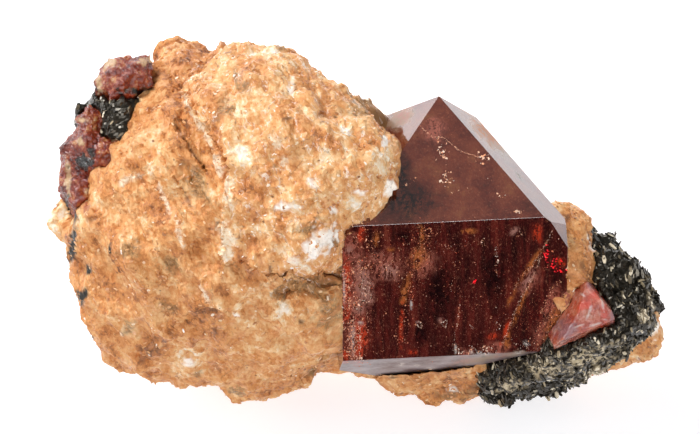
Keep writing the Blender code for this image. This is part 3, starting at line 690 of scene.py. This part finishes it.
# What shows in the front faces, each kind as ragged patches given in the same way as the stains.
SHOWING = {
    "pink": (
        (-6.9, -16.0, 1.5, 6.2, 3), (-1.4, -13.4, 1.5, 1.4, -20), (-6.6, -15.2, 1.6, 3.4, 6),
        (-4.4, -13.6, 2.0, 1.6), (-6.7, -20.0, 1.1, 2.0), (-7.0, -12.0, 0.9, 1.0),
        (7.3, -14.9, 0.9, 1.6, -30), (4.6, -20.3, 1.4, 0.8), (8.6, -19.0, 1.2, 1.7, -20),
        (9.2, -16.4, 0.7, 1.8, -20), (2.2, -20.6, 0.8, 0.5), (-0.4, -2.8, 1.1, 1.2)),
    "ember": (
        (-7.4, -14.6, 0.5, 2.2), (-7.4, -17.4, 0.4, 1.0), (-6.3, -19.4, 0.8, 2.3),
        (-7.5, -20.9, 0.3, 0.7), (-6.2, -11.1, 0.4, 0.7), (-3.0, -18.4, 0.2, 2.2, -3),
        (-2.0, -20.6, 0.5, 0.25), (7.8, -11.0, 0.5, 0.9), (4.4, -19.3, 0.5, 0.3, 20),
        (5.4, -18.9, 0.3, 1.2, -20), (9.8, -13.3, 0.5, 0.4, -40)),
    "rust": (
        (-1.7, -13.0, 0.8, 1.3, -20), (-1.4, -11.1, 0.2, 1.2), (-2.7, -15.6, 0.4, 1.6, -14),
        (-3.9, -12.3, 0.5, 0.2, 10), (5.6, -19.6, 0.3, 0.9, -8), (-5.0, -11.4, 0.3, 0.9),
        (5.8, -16.3, 0.2, 1.2, -25), (9.3, -18.0, 0.6, 2.6, -21), (7.3, -13.6, 0.25, 2.4, -33),
        (6.6, -16.8, 0.2, 3.0, -22), (2.4, -10.8, 0.8, 0.25, 5), (3.9, -2.9, 2.2, 0.8, -42)),
    "veil": (
        (4.0, -3.1, 3.0, 0.9, -44), (-3.1, -1.8, 1.7, 1.0, 25), (6.4, -6.4, 0.55, 0.12, -48),
        (3.6, -21.2, 2.4, 0.4, 12), (6.2, -20.8, 1.2, 0.3, 12)),
    "mauve": (
        (-6.0, -15.2, 0.8, 2.3, 8), (-7.2, -12.3, 0.4, 0.5), (-4.0, -14.0, 0.8, 0.9),
        (-6.9, -19.2, 0.35, 1.6), (-6.4, -17.0, 0.5, 0.8), (7.2, -14.7, 0.4, 1.2, -30),
        (-2.9, -1.5, 0.9, 1.2), (0.2, -18.0, 0.3, 0.3), (6.0, -10.8, 0.5, 0.3, 30),
        (2.2, -21.4, 1.6, 0.25, 12), (5.2, -20.95, 1.2, 0.2, 12)),
    "frost": (
        (3.6, -20.7, 1.6, 0.16, -4), (1.4, -20.4, 0.16, 0.5), (7.1, -19.9, 0.25, 0.3),
        (-6.9, -19.8, 0.10, 1.4), (-6.3, -18.2, 0.3, 0.25), (-7.6, -15.2, 0.10, 1.4),
        (-2.2, -16.7, 0.08, 0.5, 5), (-0.6, -22.1, 0.6, 0.2), (-1.7, -18.1, 0.25, 0.1, -20),
        (-2.9, -21.7, 0.35, 0.14, 20), (-1.7, -21.8, 0.6, 0.16, 5), (6.4, -20.7, 0.7, 0.12, 15)),
    "shadow": (
        (-2.6, -8.4, 3.2, 1.8), (-3.2, -6.6, 1.2, 2.2), (0.1, -15.6, 1.6, 3.6, 2),
        (-2.9, -11.2, 0.9, 0.8), (4.4, -14.4, 1.1, 3.0), (9.6, -14.8, 0.7, 0.8),
        (-1.4, -19.0, 0.8, 1.4), (6.4, -6.4, 0.6, 0.14, -48), (1.6, -21.7, 1.2, 0.10, 14),
        (4.6, -20.8, 1.6, 0.08, 12)),
}
paint_kinds(zircon, points_of(zircon), SHOWING, 0.6, 14.0)
# The pyramid's faces lean towards the crystal's length, and the foot is a single face.
foot_normal = face_at(-6.5, -22.3)[1]
for name, way, least in (("capped", long_axis, 0.3), ("foot", foot_normal, 0.99)):
    there = zircon.data.attributes.new(name, "FLOAT", "FACE")
    there.data.foreach_set("value", [float(face.normal.dot(way) > least)
                                     for face in zircon.data.polygons])

zircon_glass, tree, surface = new_material(
    "red_zircon", Roughness=0.05, IOR=ZIRCON_IOR, Transmission_Weight=0.5)
object_place = add_node(tree, "TexCoord").outputs["Object"]
# Streaks, dust and splinters are all drawn out along the crystal: how wide and how long they are.
lie = long_axis.to_track_quat("Z", "X").to_euler()
drawn_out, sparkle_lie, splinter_lie = [
    add_node(tree, "Mapping", {"Vector": object_place, "Rotation": lie,
                               "Scale": (wide * MM, wide * MM, long * MM)}, vector_type="TEXTURE")
    for wide, long in ((0.6, 5.0), (0.10, 0.22), (0.20, 0.42))]
streaks, sparkle, grain, cloud, etch = [
    add_node(tree, "TexNoise", {"Vector": place, "Scale": scale, "Detail": detail,
                                "Roughness": roughness})
    for place, scale, detail, roughness in (
        (drawn_out, 1.0, 6.0, 0.65), (sparkle_lie, 1.0, 2.0, 0.8),
        (object_place, 1 / (0.3 * MM), 4.0, 0.7), (object_place, 1 / (2.2 * MM), 5.0, 0.6),
        (object_place, 1 / (0.5 * MM), 5.0, 0.6))]
cap, foot, veil = [add_node(tree, "Attribute", attribute_name=kind).outputs["Fac"]
                   for kind in ("capped", "foot", "veil")]
prism = add_node(tree, "ValToRGB", (streaks,), stops=(
    (0.30, "#280c0b"), (0.74, "#a8543e"), (0.42, "#421412"), (0.52, "#5a1c18"), (0.62, "#7a2a22")))
# The pyramid's faces are painted a lighter, browner red than the prism: the stone's own mottle,
# with a painted sheen of the grey tent above.
mottle = add_node(tree, "Math", (grain, 0.35, cloud), operation="MULTIPLY_ADD")
pyramid_tone_and_sheen = add_node(tree, "ValToRGB", (mottle,), stops=(
    (0.45, "#58241a"), (0.90, "#a4623e"), (0.60, "#743022"), (0.75, "#8e442e")))
stone = add_node(tree, "MixRGB", (cap, prism, pyramid_tone_and_sheen))
# Fine salmon flecks all through the stone: dust, and painted glints.
dust_and_glints = add_node(tree, "MapRange", (sparkle, 0.57, 0.74, 0.0, 0.85))
stone = add_node(tree, "MixRGB", (dust_and_glints, stone, srgb("#cc8466")))
# Its foot is etched dull and painted lilac grey, with the red stone showing through and frost on
# it: partly the etched surface's own colour, partly a painted reflection of the pale table below.
etched_with_reflection = add_node(tree, "ValToRGB", (mottle,), stops=(
    (0.50, "#6a3e38"), (0.94, "#f0e8e4"), (0.60, "#93797a"), (0.70, "#b2a0a2"), (0.82, "#c4b6b8")))
stone = add_node(tree, "MixRGB", (foot, stone, etched_with_reflection))
etching = add_node(tree, "Math", (foot, veil), operation="MAXIMUM")
dulled = add_node(tree, "MapRange", (etching, 0.0, 1.0, 0.05, 0.45))
# Patches break up into angular splinters, each a shade of its own.
splinters = add_node(tree, "TexVoronoi", {"Vector": splinter_lie, "Scale": 1.0})
splinter_tone = add_node(tree, "SeparateColor", (splinters.outputs["Color"],))
mixed = add_node(tree, "Math", (splinter_tone.outputs["Red"], 0.35, sparkle),
                 operation="MULTIPLY_ADD")
grit = add_node(tree, "MapRange", (mixed, 0.52, 0.70, 0.05, 1.0))
stone = add_node(tree, "MixRGB", (veil, stone, srgb("#c4a68a")))
for kind, code in (("shadow", "#230b0a"), ("pink", "#cc7662"), ("rust", "#da7c42"),
                   ("ember", "#f4502c"), ("mauve", "#d09484"), ("frost", "#fff2e8")):
    there = add_node(tree, "Attribute", attribute_name=kind).outputs["Fac"]
    share = add_node(tree, "Math", (there, grit), operation="MULTIPLY")
    stone = add_node(tree, "MixRGB", (share, stone, srgb(code)))
# Where the veil lies the surface is dulled so that it hardly mirrors, and it is painted tan.
sheen = add_node(tree, "MapRange", (veil, 0.0, 1.0, 0.5, 0.05))
bump = add_node(tree, "Bump", {"Height": etch, "Strength": 0.12, "Distance": 0.02 * MM})
connect(surface, {"Base Color": stone, "Roughness": dulled, "Specular IOR Level": sheen,
                  "Normal": bump})
depth = add_node(tree, "VolumeAbsorption", {"Color": (0.80, 0.20, 0.12, 1.0), "Density": 280.0})
connect(tree.nodes["Material Output"], {"Volume": depth})
zircon.data.materials.append(zircon_glass)
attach(zircon, "root")
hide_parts("zircon_crystal")


def beneath(across, rise, depth):
    """The point inside the big crystal that shows at this place, at a depth along the bent ray."""
    spot, normal = face_at(across, rise)
    if spot is None:
        return None
    facing = normal.dot(OUT)
    bent = sqrt(1.0 - (1.0 - facing ** 2) / ZIRCON_IOR ** 2)
    ray = -OUT / ZIRCON_IOR + normal * (facing / ZIRCON_IOR - bent)
    return spot + ray * depth * MM


def turned(picker, spread=pi):
    """A random rotation of up to the given angle, from a seeded picker."""
    axis = Vector([picker.gauss(0, 1) for _ in range(3)]).normalized()
    return Matrix.Rotation(picker.uniform(-spread, spread), 4, axis)


splinter = crumb(5, 0.16)
crack_stuff = tinted_material("dust_and_glints_in_healed_cracks", (
    (0.0, "#d0200c"), (1.0, "#fff0de"), (0.35, "#e0602c"), (0.6, "#f0a070"), (0.8, "#fcc8a4")),
    Roughness=0.45, IOR=1.7)

# The palest splinters also stand for sparkles: painted glints.
# Healed cracks, as they show: points across and rise, then how far their splinters spread, how
# many there are to the millimetre, their size in millimetres and their tint, from red to white.
CRACKS = (
    (((-1.4, -10.4), (-1.8, -14.0), (-3.0, -18.6), (-3.1, -20.8)), 0.30, 22, 0.09, 0.5),
    (((1.3, -13.2), (1.2, -14.2), (0.9, -15.6)), 0.06, 14, 0.05, 0.7),
    (((1.7, -16.7), (1.6, -17.8), (1.35, -18.9), (1.1, -20.6)), 0.05, 22, 0.06, 0.8),
    (((4.6, -11.9), (4.6, -13.2)), 0.07, 20, 0.08, 0.9),
    (((4.6, -13.2), (4.75, -15.2), (4.7, -17.3)), 0.10, 12, 0.07, 0.75),
    (((9.1, -10.6), (8.5, -11.9), (7.5, -13.5), (6.8, -14.2), (6.0, -15.5)), 0.07, 34, 0.06, 0.75),
    (((8.2, -12.7), (7.5, -14.6), (6.4, -16.6), (5.7, -18.6), (5.1, -20.2)), 0.06, 44, 0.06, 0.8),
    (((9.7, -14.7), (9.0, -15.6), (8.7, -16.4), (8.2, -17.4)), 0.12, 20, 0.08, 0.7),
    (((-0.6, -11.7), (0.6, -12.2), (1.8, -11.8), (3.8, -11.6)), 0.30, 16, 0.08, 0.7),
    (((1.7, -16.0), (2.6, -16.15), (3.4, -16.1), (4.4, -16.35)), 0.05, 10, 0.05, 0.65),
    (((2.1, -16.6), (3.6, -17.1)), 0.25, 14, 0.06, 0.65),
    (((-5.8, -10.5), (-6.4, -15.4), (-6.0, -20.6)), 0.9, 60, 0.09, 0.6),
    (((-7.5, -13.8), (-7.4, -17.5), (-7.0, -21.2)), 0.3, 40, 0.10, 0.62),
    (((1.2, -20.3), (2.4, -20.6), (3.4, -20.2), (4.6, -20.6)), 0.25, 40, 0.10, 0.85),
    (((6.0, -19.9), (7.6, -20.1)), 0.35, 24, 0.10, 0.9),
    (((-4.6, -13.0), (-3.2, -14.6)), 0.6, 26, 0.08, 0.6),
    (((-6.1, -14.7), (-5.5, -15.0), (-5.6, -15.6), (-6.2, -15.3), (-6.1, -14.7)),
     0.01, 44, 0.06, 0.95),
    (((-6.2, -15.8), (-5.4, -15.9), (-5.6, -16.5), (-6.4, -16.3)), 0.01, 44, 0.06, 0.95),
    (((0.2, -18.2), (0.7, -18.0), (0.6, -18.6), (0.2, -18.2)), 0.02, 50, 0.07, 0.9),
    (((-1.8, -18.0), (-1.3, -18.2), (-1.4, -18.6), (-1.9, -18.3)), 0.04, 40, 0.07, 0.85),
    (((2.5, -18.3), (2.8, -18.7)), 0.05, 26, 0.08, 0.9),
    (((4.6, -18.2), (4.9, -18.4), (4.8, -18.9)), 0.08, 22, 0.07, 0.85),
    (((6.4, -10.7), (6.6, -11.1), (6.2, -11.2)), 0.03, 20, 0.06, 0.75),
    (((9.4, -17.0), (8.8, -18.6), (8.4, -20.2)), 0.55, 60, 0.09, 0.68),
    (((9.2, -12.2), (8.6, -13.8)), 0.25, 16, 0.07, 0.5),
    (((-6.0, -10.5), (-5.8, -11.6)), 0.15, 22, 0.08, 0.7),
    (((-7.3, -14.0), (-7.1, -17.0), (-6.7, -20.8)), 0.35, 26, 0.15, 0.72),
    (((-6.8, -13.6), (-4.4, -13.4)), 0.5, 18, 0.14, 0.68),
    (((-6.35, -18.4), (-6.3, -21.2)), 0.06, 44, 0.08, 0.9),
    (((-7.0, -21.2), (-6.0, -21.0)), 0.15, 40, 0.10, 0.9),
    (((-1.3, -10.2), (-1.1, -12.0), (-1.7, -13.6)), 0.55, 100, 0.07, 0.5),
    (((-3.0, -11.0), (-3.2, -13.0)), 0.3, 18, 0.07, 0.6),
    (((-7.0, -11.0), (9.0, -11.6)), 0.6, 8, 0.06, 0.6),
    (((-7.0, -16.0), (9.0, -16.2)), 3.4, 70, 0.06, 0.55),
    (((-7.0, -13.4), (9.0, -14.0)), 1.6, 8, 0.06, 0.55),
)
picker = random.Random(11)
placings, tints = [], []
for line, spread, per_mm, width, tint in CRACKS:
    for (x0, y0), (x1, y1) in zip(line, line[1:]):
        for _ in range(int(per_mm * hypot(x1 - x0, y1 - y0)) + 1):
            along = picker.random()
            spot = beneath(x0 + (x1 - x0) * along + picker.gauss(0, spread),
                           y0 + (y1 - y0) * along + picker.gauss(0, max(0.04, 0.7 * spread)),
                           picker.uniform(-0.02, 0.06))
            if spot is None:
                continue
            size = width * picker.uniform(0.5, 1.4) * MM
            shape = Matrix.Diagonal((size, size * picker.uniform(0.5, 2.2), size * 0.5, 1.0))
            placings.append(Matrix.Translation(spot) @ turned(picker) @ shape)
            tints.append(min(1.0, max(0.0, picker.gauss(tint, 0.12))))
cracks = strew("healed_cracks", splinter, placings, tints, crack_stuff)
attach(cracks, "root")

# Light that has run down the inside of the crystal comes out ruby red at two old fractures: across
# and rise, how far the sparks spread each way in millimetres, and how many there are.
RUBY = ((8.6, -12.6, 0.10, 0.35, 22), (9.3, -13.3, 0.35, 0.28, 26), (9.8, -13.9, 0.25, 0.12, 14),
        (2.85, -14.9, 0.09, 0.12, 10))
placings, tints = [], []
for across, rise, wide, tall, count in RUBY:
    for _ in range(count):
        spot = beneath(across + picker.gauss(0, wide), rise + picker.gauss(0, tall), -0.01)
        if spot is not None:
            placings.append(Matrix.Translation(spot) @ turned(picker)
                            @ Matrix.Scale(picker.uniform(0.05, 0.17) * MM, 4))
            tints.append(picker.random())
ruby_light = new_material("light_through_red_zircon", Base_Color=srgb("#e0101c"), Roughness=0.3,
                          Emission_Color=srgb("#ff1020"), Emission_Strength=0.55)[0]
ruby = strew("ruby_sparks", splinter, placings, tints, ruby_light)
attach(ruby, "root")

# Their pale tints stand partly for glints, painted.
# Specks that the crystal closed over as its pyramid grew, and the thin crack across it: places and
# spreads as above, and how many specks there are.
SPECKS = ((0.3, -4.6, 0.5, 0.9, 40), (0.6, -6.6, 0.4, 0.8, 40), (3.4, -4.9, 0.9, 0.4, 36),
          (6.3, -9.2, 0.35, 0.25, 20), (-0.2, -3.4, 0.3, 0.3, 8), (3.8, -6.6, 0.5, 0.2, 6),
          (1.6, -7.6, 0.8, 0.3, 6), (-2.4, -7.0, 1.0, 0.8, 10), (5.0, -8.0, 0.6, 0.3, 5))
PYRAMID_CRACK = ((-1.7, -2.3), (-0.5, -3.3), (0.4, -3.3), (1.0, -3.9), (1.8, -4.5), (3.3, -4.9))
placings, tints = [], []
for across, rise, wide, tall, count in SPECKS:
    for _ in range(count):
        spot = beneath(across + picker.gauss(0, 0.5 * wide), rise + picker.gauss(0, 0.5 * tall),
                       picker.uniform(-0.03, 0.06))
        size = (0.06 + 0.24 * picker.random() ** 2) * MM
        placings.append(Matrix.Translation(spot) @ turned(picker) @ Matrix.Scale(size, 4))
        tints.append(picker.uniform(0.6, 1.0))
for (x0, y0), (x1, y1) in zip(PYRAMID_CRACK, PYRAMID_CRACK[1:]):
    for _ in range(int(26 * hypot(x1 - x0, y1 - y0))):
        along = picker.random()
        spot = beneath(x0 + (x1 - x0) * along + picker.gauss(0, 0.03),
                       y0 + (y1 - y0) * along + picker.gauss(0, 0.03), 0.0)
        placings.append(Matrix.Translation(spot) @ turned(picker) @ Matrix.Scale(0.05 * MM, 4))
        tints.append(0.75)
specks = strew("closed_over_specks", splinter, placings, tints, crack_stuff)
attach(specks, "root")


# ---- Small zircon ----
# A smaller zircon wedged between the big one and the mica, paler and cloudier, so that light comes
# back out of it salmon red.  Its faces are chipped and its edges worn round.
pale_glass, tree, surface = new_material(
    "orange_red_zircon", Roughness=0.15, IOR=ZIRCON_IOR, Transmission_Weight=0.4)
object_place = add_node(tree, "TexCoord").outputs["Object"]
cloud = add_node(tree, "TexNoise", {"Vector": object_place, "Scale": 1 / (1.2 * MM), "Detail": 6.0,
                                    "Roughness": 0.75})
colour = add_node(tree, "ValToRGB", (cloud,), stops=(
    (0.32, "#98301c"), (0.72, "#fff4ea"), (0.42, "#cc5236"), (0.52, "#e27c5c"), (0.62, "#eeaa94")))
# Milky streaks in the small zircon; the pale ones at its right edge are painted glints.
GLOWS = {
    "glow": ((12.4, -15.9, 0.7, 0.7), (13.2, -17.4, 0.4, 1.2), (11.4, -16.8, 0.8, 0.5)),
    "mauve": ((10.2, -18.8, 1.2, 1.2), (12.2, -15.0, 0.35, 0.9, 10), (13.9, -17.8, 0.3, 1.0)),
    "milky_and_glint": ((12.0, -17.4, 0.14, 0.8, -20), (13.1, -16.6, 0.12, 0.9, 12),
              (11.2, -18.4, 0.5, 0.12, 20), (12.6, -18.3, 0.9, 0.10, 18),
              (11.5, -15.9, 0.4, 0.10, -30), (13.3, -17.9, 0.3, 0.10)),
}
for kind, code in (("glow", "#f0401c"), ("mauve", "#a87c84"), ("milky_and_glint", "#ffe6da")):
    there = add_node(tree, "Attribute", attribute_name=kind).outputs["Fac"]
    share = add_node(tree, "Math", (there, 0.75), operation="MULTIPLY")
    colour = add_node(tree, "MixRGB", (share, colour, srgb(code)))
bump = add_node(tree, "Bump", {"Height": cloud, "Strength": 0.8, "Distance": 0.2 * MM})
connect(surface, {"Base Color": colour, "Normal": bump})
depth = add_node(tree, "VolumeAbsorption", {"Color": (0.93, 0.30, 0.20, 1.0), "Density": 420.0})
connect(tree.nodes["Material Output"], {"Volume": depth})
small = copy_of("small_zircon_crystal", "small_zircon")
finish_with(small, "BEVEL", width=0.15 * MM, segments=2, limit_method="ANGLE",
            angle_limit=radians(20))
finish_with(small, "REMESH", mode="VOXEL", voxel_size=0.09 * MM)
points = points_of(small)
points = swell(small, 0.07 * chipped(points, 0.7 * MM, 4.0) + 0.05 * ripple(points, 0.35 * MM, 2.0))
paint_kinds(small, points, GLOWS, 0.9, 8.0)
small.data.materials.append(pale_glass)
bpy.ops.object.shade_smooth_by_angle(angle=SOFT_EDGE)
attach(small, "root")
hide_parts("small_zircon_crystal")


# ---- Zircon clusters at the left end ----
# Stubby crystals grown into one another, their faces rough and crusted: red-brown inside, cream
# where feldspar still clings to their rims, black where mica fills the hollows between them.
crusted, tree, surface = new_material(
    "crusted_zircon", Roughness=0.12, IOR=ZIRCON_IOR, Specular_IOR_Level=0.3,
    Transmission_Weight=0.25)
object_place = add_node(tree, "TexCoord").outputs["Object"]
cloud = add_node(tree, "TexNoise", {"Vector": object_place, "Scale": 1 / (1.0 * MM), "Detail": 6.0,
                                    "Roughness": 0.7})
colour = add_node(tree, "ValToRGB", (cloud,), stops=(
    (0.30, "#34100a"), (0.72, "#f6e2c0"), (0.42, "#762210"), (0.54, "#9c3c1c"), (0.63, "#c8844c")))
for kind, code in (("crust", "#dcb68a"), ("mica", "#1c1a15")):
    there = add_node(tree, "Attribute", attribute_name=kind).outputs["Fac"]
    colour = add_node(tree, "MixRGB", (there, colour, srgb(code)))
bump = add_node(tree, "Bump", {"Height": cloud, "Strength": 0.9, "Distance": 0.2 * MM})
connect(surface, {"Base Color": colour, "Normal": bump})
depth = add_node(tree, "VolumeAbsorption", {"Color": (0.90, 0.30, 0.22, 1.0), "Density": 500.0})
connect(tree.nodes["Material Output"], {"Volume": depth})
CRUSTS = {
    "upper_zircon_cluster": {
        "crust": ((-26.6, 2.7, 0.8, 0.5), (-23.6, 2.9, 0.6, 0.4), (-27.3, 0.8, 0.3, 0.8)),
        "mica": ((-24.2, 0.4, 1.6, 0.4),)},
    "lower_zircon_cluster": {
        "crust": ((-28.8, -3.6, 0.4, 0.3), (-26.0, -3.2, 0.3, 0.6), (-29.8, -6.6, 0.3, 1.6),
                  (-27.9, -7.6, 0.7, 0.3), (-26.6, -7.0, 0.4, 0.6), (-28.6, -1.9, 0.5, 0.2)),
        "mica": ((-28.4, -5.2, 1.1, 0.8, 20), (-27.0, -6.6, 0.5, 0.9), (-30.0, -8.8, 0.3, 1.2),
                 (-27.0, -3.0, 0.3, 0.5))},
}
for cluster_node, crusts in CRUSTS.items():
    piece = copy_of(cluster_node, cluster_node + "_crystals")
    finish_with(piece, "REMESH", mode="VOXEL", voxel_size=0.12 * MM)
    finish_with(piece, "SMOOTH", factor=0.5, iterations=6)
    points = points_of(piece)
    worn = 0.26 * chipped(points, 0.8 * MM, 8.0) + 0.12 * ripple(points, 0.3 * MM, 3.0)
    paint_kinds(piece, swell(piece, worn), crusts, 1.4, 6.0, sharpness=2.0)
    piece.data.materials.append(crusted)
    bpy.ops.object.shade_smooth_by_angle(angle=SOFT_EDGE)
    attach(piece, "root")
    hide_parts(cluster_node)


# ---- Mica ----
# Biotite, black mica: books of thin flakes that cleave like paper, so they look fibrous from the
# side and flash where they face the light.  Below the small zircon they are mixed with sugary
# feldspar and greenish grains.
flake = crumb(6, 0.12)
biotite, tree, surface = new_material("biotite", Roughness=0.24, IOR=1.6, Specular_IOR_Level=0.4,
                                      Specular_Tint=srgb("#f6ecdc"))
object_place = add_node(tree, "TexCoord").outputs["Object"]
flake_tint = add_node(tree, "Attribute", attribute_name="tint").outputs["Fac"]
speckle = add_node(tree, "TexNoise", {"Vector": object_place, "Scale": 1 / (0.25 * MM),
                                      "Detail": 4.0, "Roughness": 0.7})
tone = add_node(tree, "Math", (speckle, 0.5, flake_tint), operation="MULTIPLY_ADD")
colour = add_node(tree, "ValToRGB", (tone,), stops=(
    (0.20, "#0a0907"), (1.0, "#f6ead2"), (0.36, "#2e281f"), (0.54, "#6e6350"), (0.78, "#b2a182")))
connect(surface, {"Base Color": colour})

GRANULAR = ((12.0, -21.0, 4.0, 1.5, 14), (8.6, -22.0, 2.6, 1.2), (16.4, -20.6, 2.4, 1.3, 20),
            (17.8, -19.0, 0.7, 1.1), (6.0, -23.4, 2.0, 0.8, 10))
TAN_RIM = ((16.4, -21.4, 2.8, 0.8, 25), (17.9, -18.9, 0.5, 0.9), (13.0, -22.4, 2.0, 0.5, 20),
           (17.2, -16.6, 0.3, 1.5, 20), (16.6, -17.7, 0.7, 0.7))
FLAKES = {
    "right_mica": dict(seed=5, count=4200, size=0.75 * MM, along=RISE - ACROSS * 0.35),
    "left_mica": dict(seed=6, count=600, size=0.5 * MM, along=RISE + ACROSS * 0.6),
}
for mica_node, book in FLAKES.items():
    core = copy_of(mica_node, mica_node + "_core")
    finish_with(core, "REMESH", mode="VOXEL", voxel_size=0.2 * MM)
    points = points_of(core)
    normals = points_of(core, "normal")
    points = swell(core, 0.2 + 0.28 * chipped(points, 0.7 * MM, book["seed"]))
    points[:, 2] = np.maximum(points[:, 2], 0.0)
    put_points(core, points)
    places = show_places(points)
    ragged = ripple(points, 0.6 * MM, 12.0)
    granular, tan = [cover(places, ragged, zone) for zone in (GRANULAR, TAN_RIM)]
    paint(core, "tint", 0.55 * granular * (ripple(points, 0.35 * MM, 2.0) > -0.1) + 0.4 * tan)
    core.data.materials.append(biotite)
    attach(core, "root")
    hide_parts(mica_node)

    sheen = ripple(points, 0.8 * MM, 5.0)
    picker = random.Random(book["seed"])
    placings, tints = [], []
    for spot in picker.choices(range(len(points)), k=book["count"]):
        place = Vector(points[spot])
        if place.z < 0.8 * MM:
            continue
        lean = Vector(normals[spot]) + Vector([picker.gauss(0, 0.5) for _ in range(3)])
        side = lean.cross(book["along"] + Vector([picker.gauss(0, 0.3) for _ in range(3)]))
        lean, side = lean.normalized(), side.normalized()
        lie = Matrix((side.cross(lean), side, lean)).transposed().to_4x4()
        size = book["size"] * picker.uniform(0.4, 1.15)
        in_grains = granular[spot] > picker.random()
        wide = picker.uniform(0.6, 1.0) if in_grains else picker.uniform(0.2, 0.5)
        size *= 0.5 if in_grains else 1.0
        shape = Matrix.Diagonal((size, wide * size, size, 1.0))
        placings.append(Matrix.Translation(place) @ lie @ shape)
        # Outside the grains, the brightest tint and the sheen over patches of flakes are painted
        # glints; the rest is the flakes' own black and brown.
        tint = picker.choice((-0.1, 0.0, 0.1, 0.2, 0.25, 0.35, 0.6) if in_grains
                             else (-0.15, -0.1, -0.05, 0.0, 0.05, 0.2, 0.6))
        tint += 0.0 if in_grains else 0.35 * sheen[spot]
        tints.append(max(tint, 0.7 * tan[spot]))
    flakes = strew(mica_node + "_flakes", flake, placings, tints, biotite)
    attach(flakes, "root")

for model in (chip, splinter, flake):
    bpy.data.objects.remove(model, do_unlink=True)
